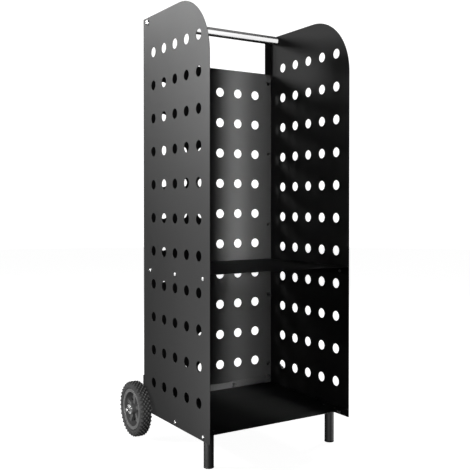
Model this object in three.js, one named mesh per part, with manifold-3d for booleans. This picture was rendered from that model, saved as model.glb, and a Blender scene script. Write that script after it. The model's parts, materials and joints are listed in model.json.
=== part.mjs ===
// Two-tier firewood rack on wheels: perforated sheet-steel sides and back, two folded shelves,
// a tube handle, two tube legs at the front and two rubber-tyred wheels behind.
// Millimetres. +X is the rack's right as seen from the front, +Y its back, +Z up.
// The origin is on the floor, in the middle of the whole object's length and width.

import * as THREE from 'three';
import { mergeVertices } from 'three/addons/utils/BufferGeometryUtils.js';
import Module from 'manifold-3d';

const wasm = await Module();
wasm.setup();

// ---- driving dimensions ----

const WIDTH = 410; // over the outer faces of the side panels
const PANEL_DEPTH = 347;
const PANEL_HEIGHT = 1028;
const PANEL_BASE = 69.5; // floor to the lower edge of the panels
const CORNER_RADIUS = 148; // rounded top front corner
const CORNER_SEGMENTS = 10;
const SHEET = 1.2; // steel sheet thickness
const FLANGE = 22; // panel's rear edge, folded inwards
const GAP = 0.3; // between pieces that touch

const HOLE_RADIUS = 12.5;
const HOLE_SIDES = 12;
const COLUMN_PITCH = 59;
const ROW_PITCH = 85;
const SIDE_COLUMNS = 5;
const SIDE_ROWS = 11;
const SIDE_FIRST_COLUMN = 51; // behind the front edge
const SIDE_FIRST_ROW = 83; // above the panel's lower edge
const BACK_COLUMNS = 6;
const BACK_ROWS = 10;
const BACK_FIRST_ROW = 92;
const BACK_BOTTOM = 4; // above the panels' lower edge
const BACK_TOP = 922;

const MIDDLE_SHELF_TOP = 384.5; // above the panels' lower edge
const BOTTOM_SHELF_TOP = 21.5;
const SHELF_FLANGE = 20; // side edges, folded down
const REAR_FLANGE = 18; // bottom shelf's rear edge, folded up
const SHELF_FRONT_SETBACK = 0.5;

const SCREW_SIDES = 6;
const SCREW_RADIUS = 2.3; // M5 thread, less its clearance
const SCREW_HOLE = 3.1;
const SCREW_HEAD = 4.8;
const SCREW_HEAD_HEIGHT = 2.4;
const SCREW_LENGTH = 8;
const SHELF_SCREW_DROP = 12.5; // below the shelf's top face
const SHELF_SCREW_DEPTHS = { front: 31, middle: 168, rear: 305 };
const BACK_SCREW_INSET = 11.5; // from the panel's outer face
const BACK_SCREW_HEIGHTS = [76, 280.5, 485, 689.5, 894];
const REAR_SCREW_OFFSET = 75; // from the centre line
const REAR_SCREW_HEIGHT = 30.5;

const TUBE_RADIUS = 12;
const TUBE_WALL = 1.5;
const TUBE_SIDES = 20;
const HANDLE_DROP = 12.5; // tube axis below the panels' top edge
const HANDLE_SETBACK = 320; // tube axis behind the front edge
const INSERT_LENGTH = 20;
const INSERT_RADIUS = 10;
const BOLT_RADIUS = 3.9; // M8 thread, less its clearance
const BOLT_HOLE = 4.6;
const BOLT_HEAD = 7;
const BOLT_HEAD_HEIGHT = 4;

const LEG_INSET = 25; // leg axis inside the panel's outer face
const LEG_SETBACK = 48; // leg axis behind the front edge
const LEG_PLATE = { width: 42, depth: 60, thickness: 3 };
const LEG_SCREW_OFFSET = 21;
const CAP_FLANGE = 3;
const CAP_PLUG = 14;

const WHEEL_RADIUS = 72;
const TYRE_WIDTH = 31;
const WHEEL_CLEARANCE = 3; // tyre to the side panel
const RIM_RADIUS = 54; // seat of the tyre
const RIM_INNER = 44;
const RIM_WIDTH = 26;
const SPOKES = 5;
const SPOKE_WIDTH = 11;
const SPOKE_THICKNESS = 9;
const BOSS_RADIUS = 14;
const WEB_THICKNESS = 1.6; // closes the hub between its spokes, near the face that looks at the rack
const WEB_SETBACK = 2;
const BUSH_RADIUS = 7.5;
const WHEEL_SIDES = 32;
const ROUND_SIDES = 16;

const AXLE_RADIUS = 5;
const AXLE_BORE = 5.4;
const AXLE_SETBACK = 11; // behind the panels' rear edges
const AXLE_END = 250; // from the centre line
const WASHER_RADIUS = 12;
const WASHER_THICKNESS = 1.7;
const SPLIT_PIN_RADIUS = 1.3;
const SPLIT_PIN_HOLE = 1.8;
const SPLIT_PIN_LENGTH = 19;
const BRACKET = { thickness: 2.5, low: 60.5, high: 160, earTop: 124, earRadius: 11.5 };
const BRACKET_BOLT_HEIGHT = 108;

// ---- places worked out from them ----

const FRONT = -(PANEL_DEPTH + AXLE_SETBACK + WHEEL_RADIUS) / 2;
const REAR = FRONT + PANEL_DEPTH;
const AXLE_Y = REAR + AXLE_SETBACK;
const HALF = WIDTH / 2;
const INNER = HALF - SHEET - GAP; // outermost face of what sits between the panels
const TOP = PANEL_BASE + PANEL_HEIGHT;
const BACK_FACE = REAR - SHEET - GAP; // rear face of the back panel
const TYRE_INNER = HALF + WHEEL_CLEARANCE;
const TYRE_OUTER = TYRE_INNER + TYRE_WIDTH;
const WHEEL_X = (TYRE_INNER + TYRE_OUTER) / 2;
const SCREW_X = HALF - BACK_SCREW_INSET;
const SIDES = [{ name: 'left', sign: -1 }, { name: 'right', sign: 1 }];

// ---- materials ----

const finish = (color, roughness, metalness) => () =>
  new THREE.MeshStandardMaterial({ color, roughness, metalness });
const powderCoat = finish(0x1b1b1c, 0.6, 0.2);
const chrome = finish(0xd0d2d4, 0.15, 1);
const zinc = finish(0xb8babd, 0.35, 1);
const blackSteel = finish(0x222223, 0.45, 0.6);
const rubber = finish(0x161616, 0.9, 0);
const plastic = finish(0x3a3b3d, 0.55, 0);
const bronze = finish(0x8a7a58, 0.4, 0.8);

// ---- helpers ----

const rack = new THREE.Group();

function add(name, geometry, material) {
  const mesh = new THREE.Mesh(geometry, material());
  mesh.name = name;
  rack.add(mesh);
  return mesh;
}

// A manifold solid from a closed geometry, without the faces that have no area.
function solidOf(geometry) {
  const plain = geometry.clone();
  plain.deleteAttribute('normal');
  plain.deleteAttribute('uv');
  const merged = mergeVertices(plain, 1e-3);
  const corners = merged.index.array;
  const kept = [];
  for (let i = 0; i < corners.length; i += 3) {
    const [a, b, c] = corners.slice(i, i + 3);
    if (a !== b && b !== c && c !== a) kept.push(a, b, c);
  }
  const vertProperties = new Float32Array(merged.attributes.position.array);
  const triVerts = new Uint32Array(kept);
  return new wasm.Manifold(new wasm.Mesh({ numProp: 3, vertProperties, triVerts }));
}

function geometryOf(solid) {
  const { vertProperties, triVerts } = solid.getMesh();
  const geometry = new THREE.BufferGeometry();
  geometry.setAttribute('position', new THREE.BufferAttribute(vertProperties, 3));
  geometry.setIndex(new THREE.BufferAttribute(triVerts, 1));
  return geometry;
}

function joined(geometries) {
  const solids = geometries.map(solidOf);
  return geometryOf(solids.reduce((whole, piece) => whole.add(piece)));
}

// Corners of a regular polygon whose corners lie on a circle.
function roundPoints(x, y, radius, sides) {
  const points = [];
  for (let i = 0; i < sides; i += 1) {
    const angle = (2 * Math.PI * i) / sides;
    points.push(new THREE.Vector2(x + radius * Math.cos(angle), y + radius * Math.sin(angle)));
  }
  return points;
}

const round = (x, y, radius, sides) => new THREE.Path(roundPoints(x, y, radius, sides));
const disc = (x, y, radius, sides) => new THREE.Shape(roundPoints(x, y, radius, sides));

function rectangle(x0, y0, x1, y1) {
  const corners = [[x0, y0], [x1, y0], [x1, y1], [x0, y1]];
  return new THREE.Shape(corners.map(([x, y]) => new THREE.Vector2(x, y)));
}

function extruded(shape, depth, curveSegments = CORNER_SEGMENTS) {
  return new THREE.ExtrudeGeometry(shape, { depth, bevelEnabled: false, curveSegments });
}

const axes = (x, y, z) => new THREE.Matrix4().makeBasis(
  new THREE.Vector3(...x),
  new THREE.Vector3(...y),
  new THREE.Vector3(...z),
);
const UPRIGHT_SIDE = axes([0, 1, 0], [0, 0, 1], [1, 0, 0]);
const UPRIGHT_BACK = axes([1, 0, 0], [0, 0, 1], [0, -1, 0]);

// A plate drawn in Y and Z, running from x towards +X.
function sidePlate(shape, x, depth, curveSegments) {
  return extruded(shape, depth, curveSegments).applyMatrix4(UPRIGHT_SIDE).translate(x, 0, 0);
}

// A plate drawn in X and Z, running from y towards the front.
function backPlate(shape, y, depth) {
  return extruded(shape, depth).applyMatrix4(UPRIGHT_BACK).translate(0, y, 0);
}

// A plate drawn in X and Y, running up from z.
function flatPlate(shape, z, depth) {
  return extruded(shape, depth).translate(0, 0, z);
}

function turned(profile, sides) {
  return new THREE.LatheGeometry(profile.map(([r, h]) => new THREE.Vector2(r, h)), sides);
}

// A ring round the X axis, from x0 to x1.
function ringX(x0, x1, inner, outer, sides) {
  const ring = disc(0, 0, outer, sides);
  ring.holes.push(round(0, 0, inner, sides));
  return sidePlate(ring, x0, x1 - x0);
}

// A screw with its head above y = 0 and its shank below.
function screwGeometry(radius, length, head, height, sides) {
  const profile = [
    [0, -length], [radius, -length], [radius, 0], [head, 0],
    [head, height * 0.4], [head * 0.62, height], [0, height],
  ];
  return turned(profile, sides);
}

const HEAD_TOWARDS = {
  left: [0, 0, Math.PI / 2],
  right: [0, 0, -Math.PI / 2],
  front: [Math.PI, 0, 0],
  back: [0, 0, 0],
  down: [-Math.PI / 2, 0, 0],
};

function addScrew(name, towards, x, y, z, material, length = SCREW_LENGTH) {
  const size = [SCREW_RADIUS, length, SCREW_HEAD, SCREW_HEAD_HEIGHT, SCREW_SIDES];
  const screw = add(name, screwGeometry(...size), material);
  screw.rotation.set(...HEAD_TOWARDS[towards]);
  screw.position.set(x, y, z);
}

// ---- side panels ----

function sidePanel({ name, sign }) {
  const outline = new THREE.Shape();
  outline.moveTo(FRONT, PANEL_BASE);
  outline.lineTo(REAR, PANEL_BASE);
  outline.lineTo(REAR, TOP);
  outline.lineTo(FRONT + CORNER_RADIUS, TOP);
  outline.absarc(FRONT + CORNER_RADIUS, TOP - CORNER_RADIUS, CORNER_RADIUS, Math.PI / 2, Math.PI, false);
  outline.closePath();
  for (let column = 0; column < SIDE_COLUMNS; column += 1) {
    for (let row = 0; row < SIDE_ROWS; row += 1) {
      const y = FRONT + SIDE_FIRST_COLUMN + column * COLUMN_PITCH;
      const z = PANEL_BASE + SIDE_FIRST_ROW + row * ROW_PITCH;
      outline.holes.push(round(y, z, HOLE_RADIUS, HOLE_SIDES));
    }
  }
  for (const depth of Object.values(SHELF_SCREW_DEPTHS)) {
    for (const shelfTop of [MIDDLE_SHELF_TOP, BOTTOM_SHELF_TOP]) {
      const z = PANEL_BASE + shelfTop - SHELF_SCREW_DROP;
      outline.holes.push(round(FRONT + depth, z, SCREW_HOLE, SCREW_SIDES));
    }
  }
  outline.holes.push(round(FRONT + HANDLE_SETBACK, TOP - HANDLE_DROP, BOLT_HOLE, SCREW_SIDES));

  const inner = sign * (HALF - FLANGE);
  const outer = sign * HALF;
  const flange = rectangle(Math.min(inner, outer), PANEL_BASE, Math.max(inner, outer), TOP);
  for (const height of BACK_SCREW_HEIGHTS) {
    flange.holes.push(round(sign * SCREW_X, PANEL_BASE + height, SCREW_HOLE, SCREW_SIDES));
  }
  flange.holes.push(round(sign * SCREW_X, BRACKET_BOLT_HEIGHT, SCREW_HOLE, SCREW_SIDES));

  const wall = sidePlate(outline, sign < 0 ? -HALF : HALF - SHEET, SHEET);
  add(`side_panel_${name}`, joined([wall, backPlate(flange, REAR, SHEET)]), powderCoat);
}

// ---- back panel ----

function backPanel() {
  const base = PANEL_BASE + BACK_BOTTOM;
  const sheet = rectangle(-INNER, base, INNER, PANEL_BASE + BACK_TOP);
  const firstColumn = -((BACK_COLUMNS - 1) * COLUMN_PITCH) / 2;
  for (let column = 0; column < BACK_COLUMNS; column += 1) {
    for (let row = 0; row < BACK_ROWS; row += 1) {
      const z = PANEL_BASE + BACK_FIRST_ROW + row * ROW_PITCH;
      sheet.holes.push(round(firstColumn + column * COLUMN_PITCH, z, HOLE_RADIUS, HOLE_SIDES));
    }
  }
  for (const { sign } of SIDES) {
    for (const height of BACK_SCREW_HEIGHTS) {
      sheet.holes.push(round(sign * SCREW_X, PANEL_BASE + height, SCREW_HOLE, SCREW_SIDES));
    }
    sheet.holes.push(round(sign * SCREW_X, BRACKET_BOLT_HEIGHT, SCREW_HOLE, SCREW_SIDES));
    const rearScrew = [sign * REAR_SCREW_OFFSET, PANEL_BASE + REAR_SCREW_HEIGHT];
    sheet.holes.push(round(...rearScrew, SCREW_HOLE, SCREW_SIDES));
  }
  add('back_panel', backPlate(sheet, BACK_FACE, SHEET), powderCoat);
}

function backPanelScrews() {
  const face = BACK_FACE - SHEET - GAP;
  for (const { name, sign } of SIDES) {
    BACK_SCREW_HEIGHTS.forEach((height, i) => {
      const label = `back_screw_${name}_${i + 1}`;
      addScrew(label, 'front', sign * SCREW_X, face, PANEL_BASE + height, blackSteel);
    });
  }
}

// ---- shelves ----

const SHELF_FRONT = FRONT + SHELF_FRONT_SETBACK;
const SHELF_REAR = BACK_FACE - SHEET - GAP;

// A shelf sheet with its two side edges folded down.
function shelfSheets(top, topHoles) {
  const sheet = rectangle(-INNER, SHELF_FRONT, INNER, SHELF_REAR);
  for (const [x, y] of topHoles) sheet.holes.push(round(x, y, SCREW_HOLE, SCREW_SIDES));
  const pieces = [flatPlate(sheet, top - SHEET, SHEET)];
  for (const { sign } of SIDES) {
    const edge = rectangle(SHELF_FRONT, top - SHELF_FLANGE, SHELF_REAR, top);
    for (const depth of Object.values(SHELF_SCREW_DEPTHS)) {
      edge.holes.push(round(FRONT + depth, top - SHELF_SCREW_DROP, SCREW_HOLE, SCREW_SIDES));
    }
    pieces.push(sidePlate(edge, sign < 0 ? -INNER : INNER - SHEET, SHEET));
  }
  return pieces;
}

function shelfScrews(shelf, top) {
  for (const { name, sign } of SIDES) {
    for (const [place, depth] of Object.entries(SHELF_SCREW_DEPTHS)) {
      const x = sign * (HALF + GAP);
      addScrew(`${shelf}_screw_${name}_${place}`, name, x, FRONT + depth, top - SHELF_SCREW_DROP, zinc);
    }
  }
}

function middleShelf() {
  const top = PANEL_BASE + MIDDLE_SHELF_TOP;
  add('middle_shelf', joined(shelfSheets(top, [])), powderCoat);
  shelfScrews('middle_shelf', top);
}

function legScrewPlaces(sign) {
  const x = sign * (HALF - LEG_INSET);
  return [FRONT + LEG_SETBACK - LEG_SCREW_OFFSET, FRONT + LEG_SETBACK + LEG_SCREW_OFFSET].map((y) => [x, y]);
}

function bottomShelf() {
  const top = PANEL_BASE + BOTTOM_SHELF_TOP;
  const upright = rectangle(-INNER, top - SHEET, INNER, top + REAR_FLANGE);
  for (const { sign } of SIDES) {
    const place = [sign * REAR_SCREW_OFFSET, PANEL_BASE + REAR_SCREW_HEIGHT];
    upright.holes.push(round(...place, SCREW_HOLE, SCREW_SIDES));
  }
  const topHoles = SIDES.flatMap(({ sign }) => legScrewPlaces(sign));
  const sheets = [...shelfSheets(top, topHoles), backPlate(upright, SHELF_REAR, SHEET)];
  add('bottom_shelf', joined(sheets), powderCoat);
  shelfScrews('bottom_shelf', top);
  for (const { name, sign } of SIDES) {
    const face = SHELF_REAR - SHEET - GAP;
    const z = PANEL_BASE + REAR_SCREW_HEIGHT;
    addScrew(`bottom_shelf_rear_screw_${name}`, 'front', sign * REAR_SCREW_OFFSET, face, z, zinc);
  }
}

// ---- handle ----

function handle() {
  const y = FRONT + HANDLE_SETBACK;
  const z = TOP - HANDLE_DROP;
  const tube = ringX(-INNER, INNER, TUBE_RADIUS - TUBE_WALL, TUBE_RADIUS, TUBE_SIDES);
  add('handle_tube', tube, chrome).position.set(0, y, z);
  for (const { name, sign } of SIDES) {
    const inner = sign < 0 ? -INNER : INNER - INSERT_LENGTH;
    const insert = ringX(inner, inner + INSERT_LENGTH, BOLT_RADIUS + 0.6, INSERT_RADIUS, ROUND_SIDES);
    add(`handle_insert_${name}`, insert, zinc).position.set(0, y, z);
    const size = [BOLT_RADIUS, INSERT_LENGTH - 2, BOLT_HEAD, BOLT_HEAD_HEIGHT, 12];
    const bolt = add(`handle_bolt_${name}`, screwGeometry(...size), chrome);
    bolt.rotation.set(...HEAD_TOWARDS[name]);
    bolt.position.set(sign * (HALF + GAP), y, z);
  }
}

// ---- front legs ----

function leg({ name, sign }) {
  const x = sign * (HALF - LEG_INSET);
  const y = FRONT + LEG_SETBACK;
  const plateTop = PANEL_BASE + BOTTOM_SHELF_TOP - SHEET - GAP;
  const { width, depth, thickness } = LEG_PLATE;
  const plate = rectangle(x - width / 2, y - depth / 2, x + width / 2, y + depth / 2);
  for (const place of legScrewPlaces(sign)) plate.holes.push(round(...place, SCREW_HOLE, SCREW_SIDES));
  const tube = disc(x, y, TUBE_RADIUS, TUBE_SIDES);
  tube.holes.push(round(x, y, TUBE_RADIUS - TUBE_WALL, TUBE_SIDES));
  const tubeBase = CAP_FLANGE + GAP;
  const weld = thickness / 2;
  const pieces = [
    flatPlate(plate, plateTop - thickness, thickness),
    flatPlate(tube, tubeBase, plateTop - thickness + weld - tubeBase),
  ];
  add(`leg_${name}`, joined(pieces), powderCoat);

  const cap = [
    [0, 0], [TUBE_RADIUS - 0.6, 0], [TUBE_RADIUS + 0.4, 0.8], [TUBE_RADIUS + 0.4, CAP_FLANGE],
    [INSERT_RADIUS, CAP_FLANGE], [INSERT_RADIUS, CAP_FLANGE + CAP_PLUG], [0, CAP_FLANGE + CAP_PLUG],
  ];
  const foot = turned(cap, TUBE_SIDES).rotateX(Math.PI / 2);
  add(`leg_cap_${name}`, foot, plastic).position.set(x, y, 0);

  legScrewPlaces(sign).forEach(([screwX, screwY], i) => {
    const z = plateTop - thickness - GAP;
    const length = thickness + SHEET + GAP;
    addScrew(`leg_screw_${name}_${i + 1}`, 'down', screwX, screwY, z, zinc, length);
  });
}

// ---- axle, its brackets and its fastenings ----

function axle() {
  const bar = disc(0, 0, AXLE_RADIUS, WHEEL_SIDES);
  const whole = solidOf(sidePlate(bar, -AXLE_END, 2 * AXLE_END));
  const drilled = SIDES.reduce((rest, { sign }) => {
    const drill = new THREE.CylinderGeometry(SPLIT_PIN_HOLE, SPLIT_PIN_HOLE, 4 * AXLE_RADIUS, SCREW_SIDES);
    drill.rotateX(Math.PI / 2).translate(sign * splitPinX(), 0, 0);
    return rest.subtract(solidOf(drill));
  }, whole);
  add('axle', geometryOf(drilled), zinc).position.set(0, AXLE_Y, WHEEL_RADIUS);
}

function splitPinX() {
  return TYRE_OUTER + GAP + WASHER_THICKNESS + GAP + SPLIT_PIN_RADIUS;
}

function axleBracket({ name, sign }) {
  const { thickness, low, high, earTop, earRadius } = BRACKET;
  const face = REAR + GAP;
  const ear = new THREE.Shape();
  ear.moveTo(face, low);
  ear.lineTo(AXLE_Y, WHEEL_RADIUS - earRadius);
  ear.absarc(AXLE_Y, WHEEL_RADIUS, earRadius, -Math.PI / 2, Math.PI / 4, false);
  ear.lineTo(face + thickness, earTop);
  ear.lineTo(face, earTop);
  ear.closePath();
  ear.holes.push(round(AXLE_Y, WHEEL_RADIUS, AXLE_BORE, ROUND_SIDES));

  const outer = sign * (HALF - GAP);
  const inner = sign * (HALF - FLANGE);
  const pad = rectangle(Math.min(inner, outer), low, Math.max(inner, outer), high);
  for (const z of [PANEL_BASE + BACK_SCREW_HEIGHTS[0], BRACKET_BOLT_HEIGHT]) {
    pad.holes.push(round(sign * SCREW_X, z, SCREW_HOLE, SCREW_SIDES));
  }
  const earPlate = sidePlate(ear, sign < 0 ? outer : outer - thickness, thickness);
  const padPlate = backPlate(pad, face + thickness, thickness);
  add(`axle_bracket_${name}`, joined([earPlate, padPlate]), powderCoat);

  const boltFace = face + thickness + GAP;
  const reach = thickness + SHEET + SHEET + 2 * GAP;
  addScrew(`bracket_bolt_${name}`, 'back', sign * SCREW_X, boltFace, BRACKET_BOLT_HEIGHT, zinc, reach);
}

function washers({ name, sign }) {
  const spacer = ringX(HALF + GAP, TYRE_INNER - GAP, AXLE_BORE, WASHER_RADIUS - 2, ROUND_SIDES);
  const outerFace = TYRE_OUTER + GAP;
  const washer = ringX(outerFace, outerFace + WASHER_THICKNESS, AXLE_BORE, WASHER_RADIUS, ROUND_SIDES);
  const turn = sign < 0 ? Math.PI : 0;
  for (const [label, ring] of [['wheel_spacer', spacer], ['wheel_washer', washer]]) {
    const mesh = add(`${label}_${name}`, ring, zinc);
    mesh.rotation.set(0, 0, turn);
    mesh.position.set(0, AXLE_Y, WHEEL_RADIUS);
  }
}

// A straight leg through the axle with an eye above it.
function splitPin({ name, sign }) {
  const half = SPLIT_PIN_LENGTH / 2;
  const shank = new THREE.CylinderGeometry(SPLIT_PIN_RADIUS, SPLIT_PIN_RADIUS, SPLIT_PIN_LENGTH, SCREW_SIDES);
  shank.rotateX(Math.PI / 2);
  const eye = disc(0, 0, 3.4, 10);
  eye.holes.push(round(0, 0, 1.5, 10));
  const loop = sidePlate(eye, -SPLIT_PIN_RADIUS, 2 * SPLIT_PIN_RADIUS).translate(0, 0, half + 2.2);
  const pin = add(`split_pin_${name}`, joined([shank, loop]), zinc);
  pin.position.set(sign * splitPinX(), AXLE_Y, WHEEL_RADIUS);
}

// ---- wheels ----

// The wheel's own axis is local Y until it is laid along X.
function wheel({ name, sign }) {
  const half = TYRE_WIDTH / 2;
  const rimHalf = RIM_WIDTH / 2;
  const bead = RIM_RADIUS + GAP;
  const tyreProfile = [
    [bead, -rimHalf], [bead + 3, -half + 1.2], [WHEEL_RADIUS - 9, -half], [WHEEL_RADIUS - 3, -half + 2.5],
    [WHEEL_RADIUS, -half + 8], [WHEEL_RADIUS, half - 8], [WHEEL_RADIUS - 3, half - 2.5],
    [WHEEL_RADIUS - 9, half], [bead + 3, half - 1.2], [bead, rimHalf], [bead, -rimHalf],
  ];
  const rimProfile = [
    [RIM_INNER, -rimHalf], [RIM_RADIUS - 0.7, -rimHalf], [RIM_RADIUS - 0.7, rimHalf],
    [RIM_INNER, rimHalf], [RIM_INNER, -rimHalf],
  ];
  const bossProfile = [
    [BUSH_RADIUS + 0.4, -half], [BOSS_RADIUS, -half], [BOSS_RADIUS, half],
    [BUSH_RADIUS + 0.4, half], [BUSH_RADIUS + 0.4, -half],
  ];
  const webFace = sign * (rimHalf - WEB_SETBACK);
  const webBack = webFace - sign * WEB_THICKNESS;
  const [webLow, webHigh] = [Math.min(webFace, webBack), Math.max(webFace, webBack)];
  const webProfile = [
    [BOSS_RADIUS - 1, webLow], [RIM_INNER + 1, webLow], [RIM_INNER + 1, webHigh],
    [BOSS_RADIUS - 1, webHigh], [BOSS_RADIUS - 1, webLow],
  ];
  const spokeStart = BUSH_RADIUS + 3;
  const spokeLength = RIM_INNER + 2 - spokeStart;
  const pieces = [
    turned(rimProfile, WHEEL_SIDES), turned(bossProfile, ROUND_SIDES), turned(webProfile, WHEEL_SIDES),
  ];
  for (let i = 0; i < SPOKES; i += 1) {
    const spoke = new THREE.BoxGeometry(SPOKE_WIDTH, SPOKE_THICKNESS, spokeLength);
    spoke.translate(0, 0, spokeStart + spokeLength / 2);
    pieces.push(spoke.rotateY((2 * Math.PI * i) / SPOKES));
  }
  const bush = [
    [AXLE_BORE, -half], [BUSH_RADIUS, -half], [BUSH_RADIUS, half], [AXLE_BORE, half], [AXLE_BORE, -half],
  ];
  const meshes = [
    add(`tyre_${name}`, turned(tyreProfile, WHEEL_SIDES), rubber),
    add(`wheel_hub_${name}`, joined(pieces), plastic),
    add(`wheel_bush_${name}`, turned(bush, ROUND_SIDES), bronze),
  ];
  for (const mesh of meshes) {
    mesh.rotation.set(0, 0, Math.PI / 2);
    mesh.position.set(sign * WHEEL_X, AXLE_Y, WHEEL_RADIUS);
  }
}

// ---- the whole rack ----

SIDES.forEach(sidePanel);
backPanel();
backPanelScrews();
middleShelf();
bottomShelf();
handle();
SIDES.forEach(leg);
axle();
SIDES.forEach(axleBracket);
SIDES.forEach(washers);
SIDES.forEach(splitPin);
SIDES.forEach(wheel);

export default rack;
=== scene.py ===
"""Looks for a two-tier firewood rack on wheels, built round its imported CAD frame.

Metres, in the CAD frame: +X is the rack's right as seen from its open front, +Y its back, +Z up.
Each sub-assembly is a class: its fields hold its sizes and its methods build and dress its pieces.
"""

import json
import logging
import math
from collections.abc import Callable, Sequence
from dataclasses import dataclass, field
from enum import Enum

import bmesh
import bpy
from mathutils import Matrix, Vector

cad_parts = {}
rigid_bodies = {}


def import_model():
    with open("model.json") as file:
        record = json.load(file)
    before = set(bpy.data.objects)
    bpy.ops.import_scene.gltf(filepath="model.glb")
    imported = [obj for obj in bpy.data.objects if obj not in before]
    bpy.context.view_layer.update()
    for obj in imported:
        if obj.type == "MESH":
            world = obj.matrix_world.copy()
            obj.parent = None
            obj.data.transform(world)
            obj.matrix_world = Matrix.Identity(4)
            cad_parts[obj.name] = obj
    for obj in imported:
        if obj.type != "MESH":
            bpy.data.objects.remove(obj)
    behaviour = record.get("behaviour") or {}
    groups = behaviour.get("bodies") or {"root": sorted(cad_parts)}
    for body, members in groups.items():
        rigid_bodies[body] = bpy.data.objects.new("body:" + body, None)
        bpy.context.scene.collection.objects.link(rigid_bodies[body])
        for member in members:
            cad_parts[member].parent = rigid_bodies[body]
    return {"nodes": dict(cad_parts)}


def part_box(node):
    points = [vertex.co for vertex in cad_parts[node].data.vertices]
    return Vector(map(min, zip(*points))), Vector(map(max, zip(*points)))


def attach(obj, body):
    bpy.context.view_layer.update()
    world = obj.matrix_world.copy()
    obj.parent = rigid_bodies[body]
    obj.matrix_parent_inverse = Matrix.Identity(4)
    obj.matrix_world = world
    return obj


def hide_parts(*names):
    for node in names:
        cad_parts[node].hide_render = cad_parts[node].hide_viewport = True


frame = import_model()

LOG = logging.getLogger("rack")
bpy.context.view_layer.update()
MM = 0.001
WELD_DISTANCE = 1e-6
RIGHT_ANGLE = math.pi / 2
FULL_TURN = 2 * math.pi

Colour = tuple[float, float, float, float]
Point = tuple[float, float]
Round = tuple[float, float, float]  # the centre and radius of a hole, or a corner and its radius


class Side(Enum):
    """The two sides of the rack, with the sign of their X."""

    LEFT = -1
    RIGHT = 1

    @property
    def word(self) -> str:
        """The side's name as the CAD nodes spell it."""
        return self.name.lower()


class Body(Enum):
    """The CAD bodies that pieces ride on."""

    RACK = "rack"
    WHEEL_LEFT = "wheel_left"
    WHEEL_RIGHT = "wheel_right"


class Drive(Enum):
    """What a screw's head is turned by."""

    CROSS = "cross recess"
    HEX = "hexagon socket"


class Along(Enum):
    """The direction in which a blank runs on past a fold."""

    U = 0
    V = 1


class Turn(Enum):
    """Whether a flange is folded away from the drawn face or towards it."""

    AWAY = 1
    TOWARDS = -1


# ---- shader nodes ----


class Signal:
    """The output of a node, on which Python's operators add Math nodes."""

    def __init__(self, graph: "NodeGraph", socket: bpy.types.NodeSocket) -> None:
        """Keeps the output socket and the graph that it belongs to."""
        self.graph = graph
        self.socket = socket

    def join(self, operation: str, first: "Signal | float", second: "Signal | float") -> "Signal":
        """Adds one Math node.

        Args:
            operation: The Math node's operation.
            first: Its first value.
            second: Its second value.

        Returns:
            The node's result.
        """
        return self.graph.out("ShaderNodeMath", {"operation": operation}, {0: first, 1: second})

    def __add__(self, other: "Signal | float") -> "Signal":
        """The sum."""
        return self.join("ADD", self, other)

    __radd__ = __add__

    def __sub__(self, other: "Signal | float") -> "Signal":
        """The difference."""
        return self.join("SUBTRACT", self, other)

    def __rsub__(self, other: "Signal | float") -> "Signal":
        """The difference, the other way round."""
        return self.join("SUBTRACT", other, self)

    def __mul__(self, other: "Signal | float") -> "Signal":
        """The product."""
        return self.join("MULTIPLY", self, other)

    __rmul__ = __mul__


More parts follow.
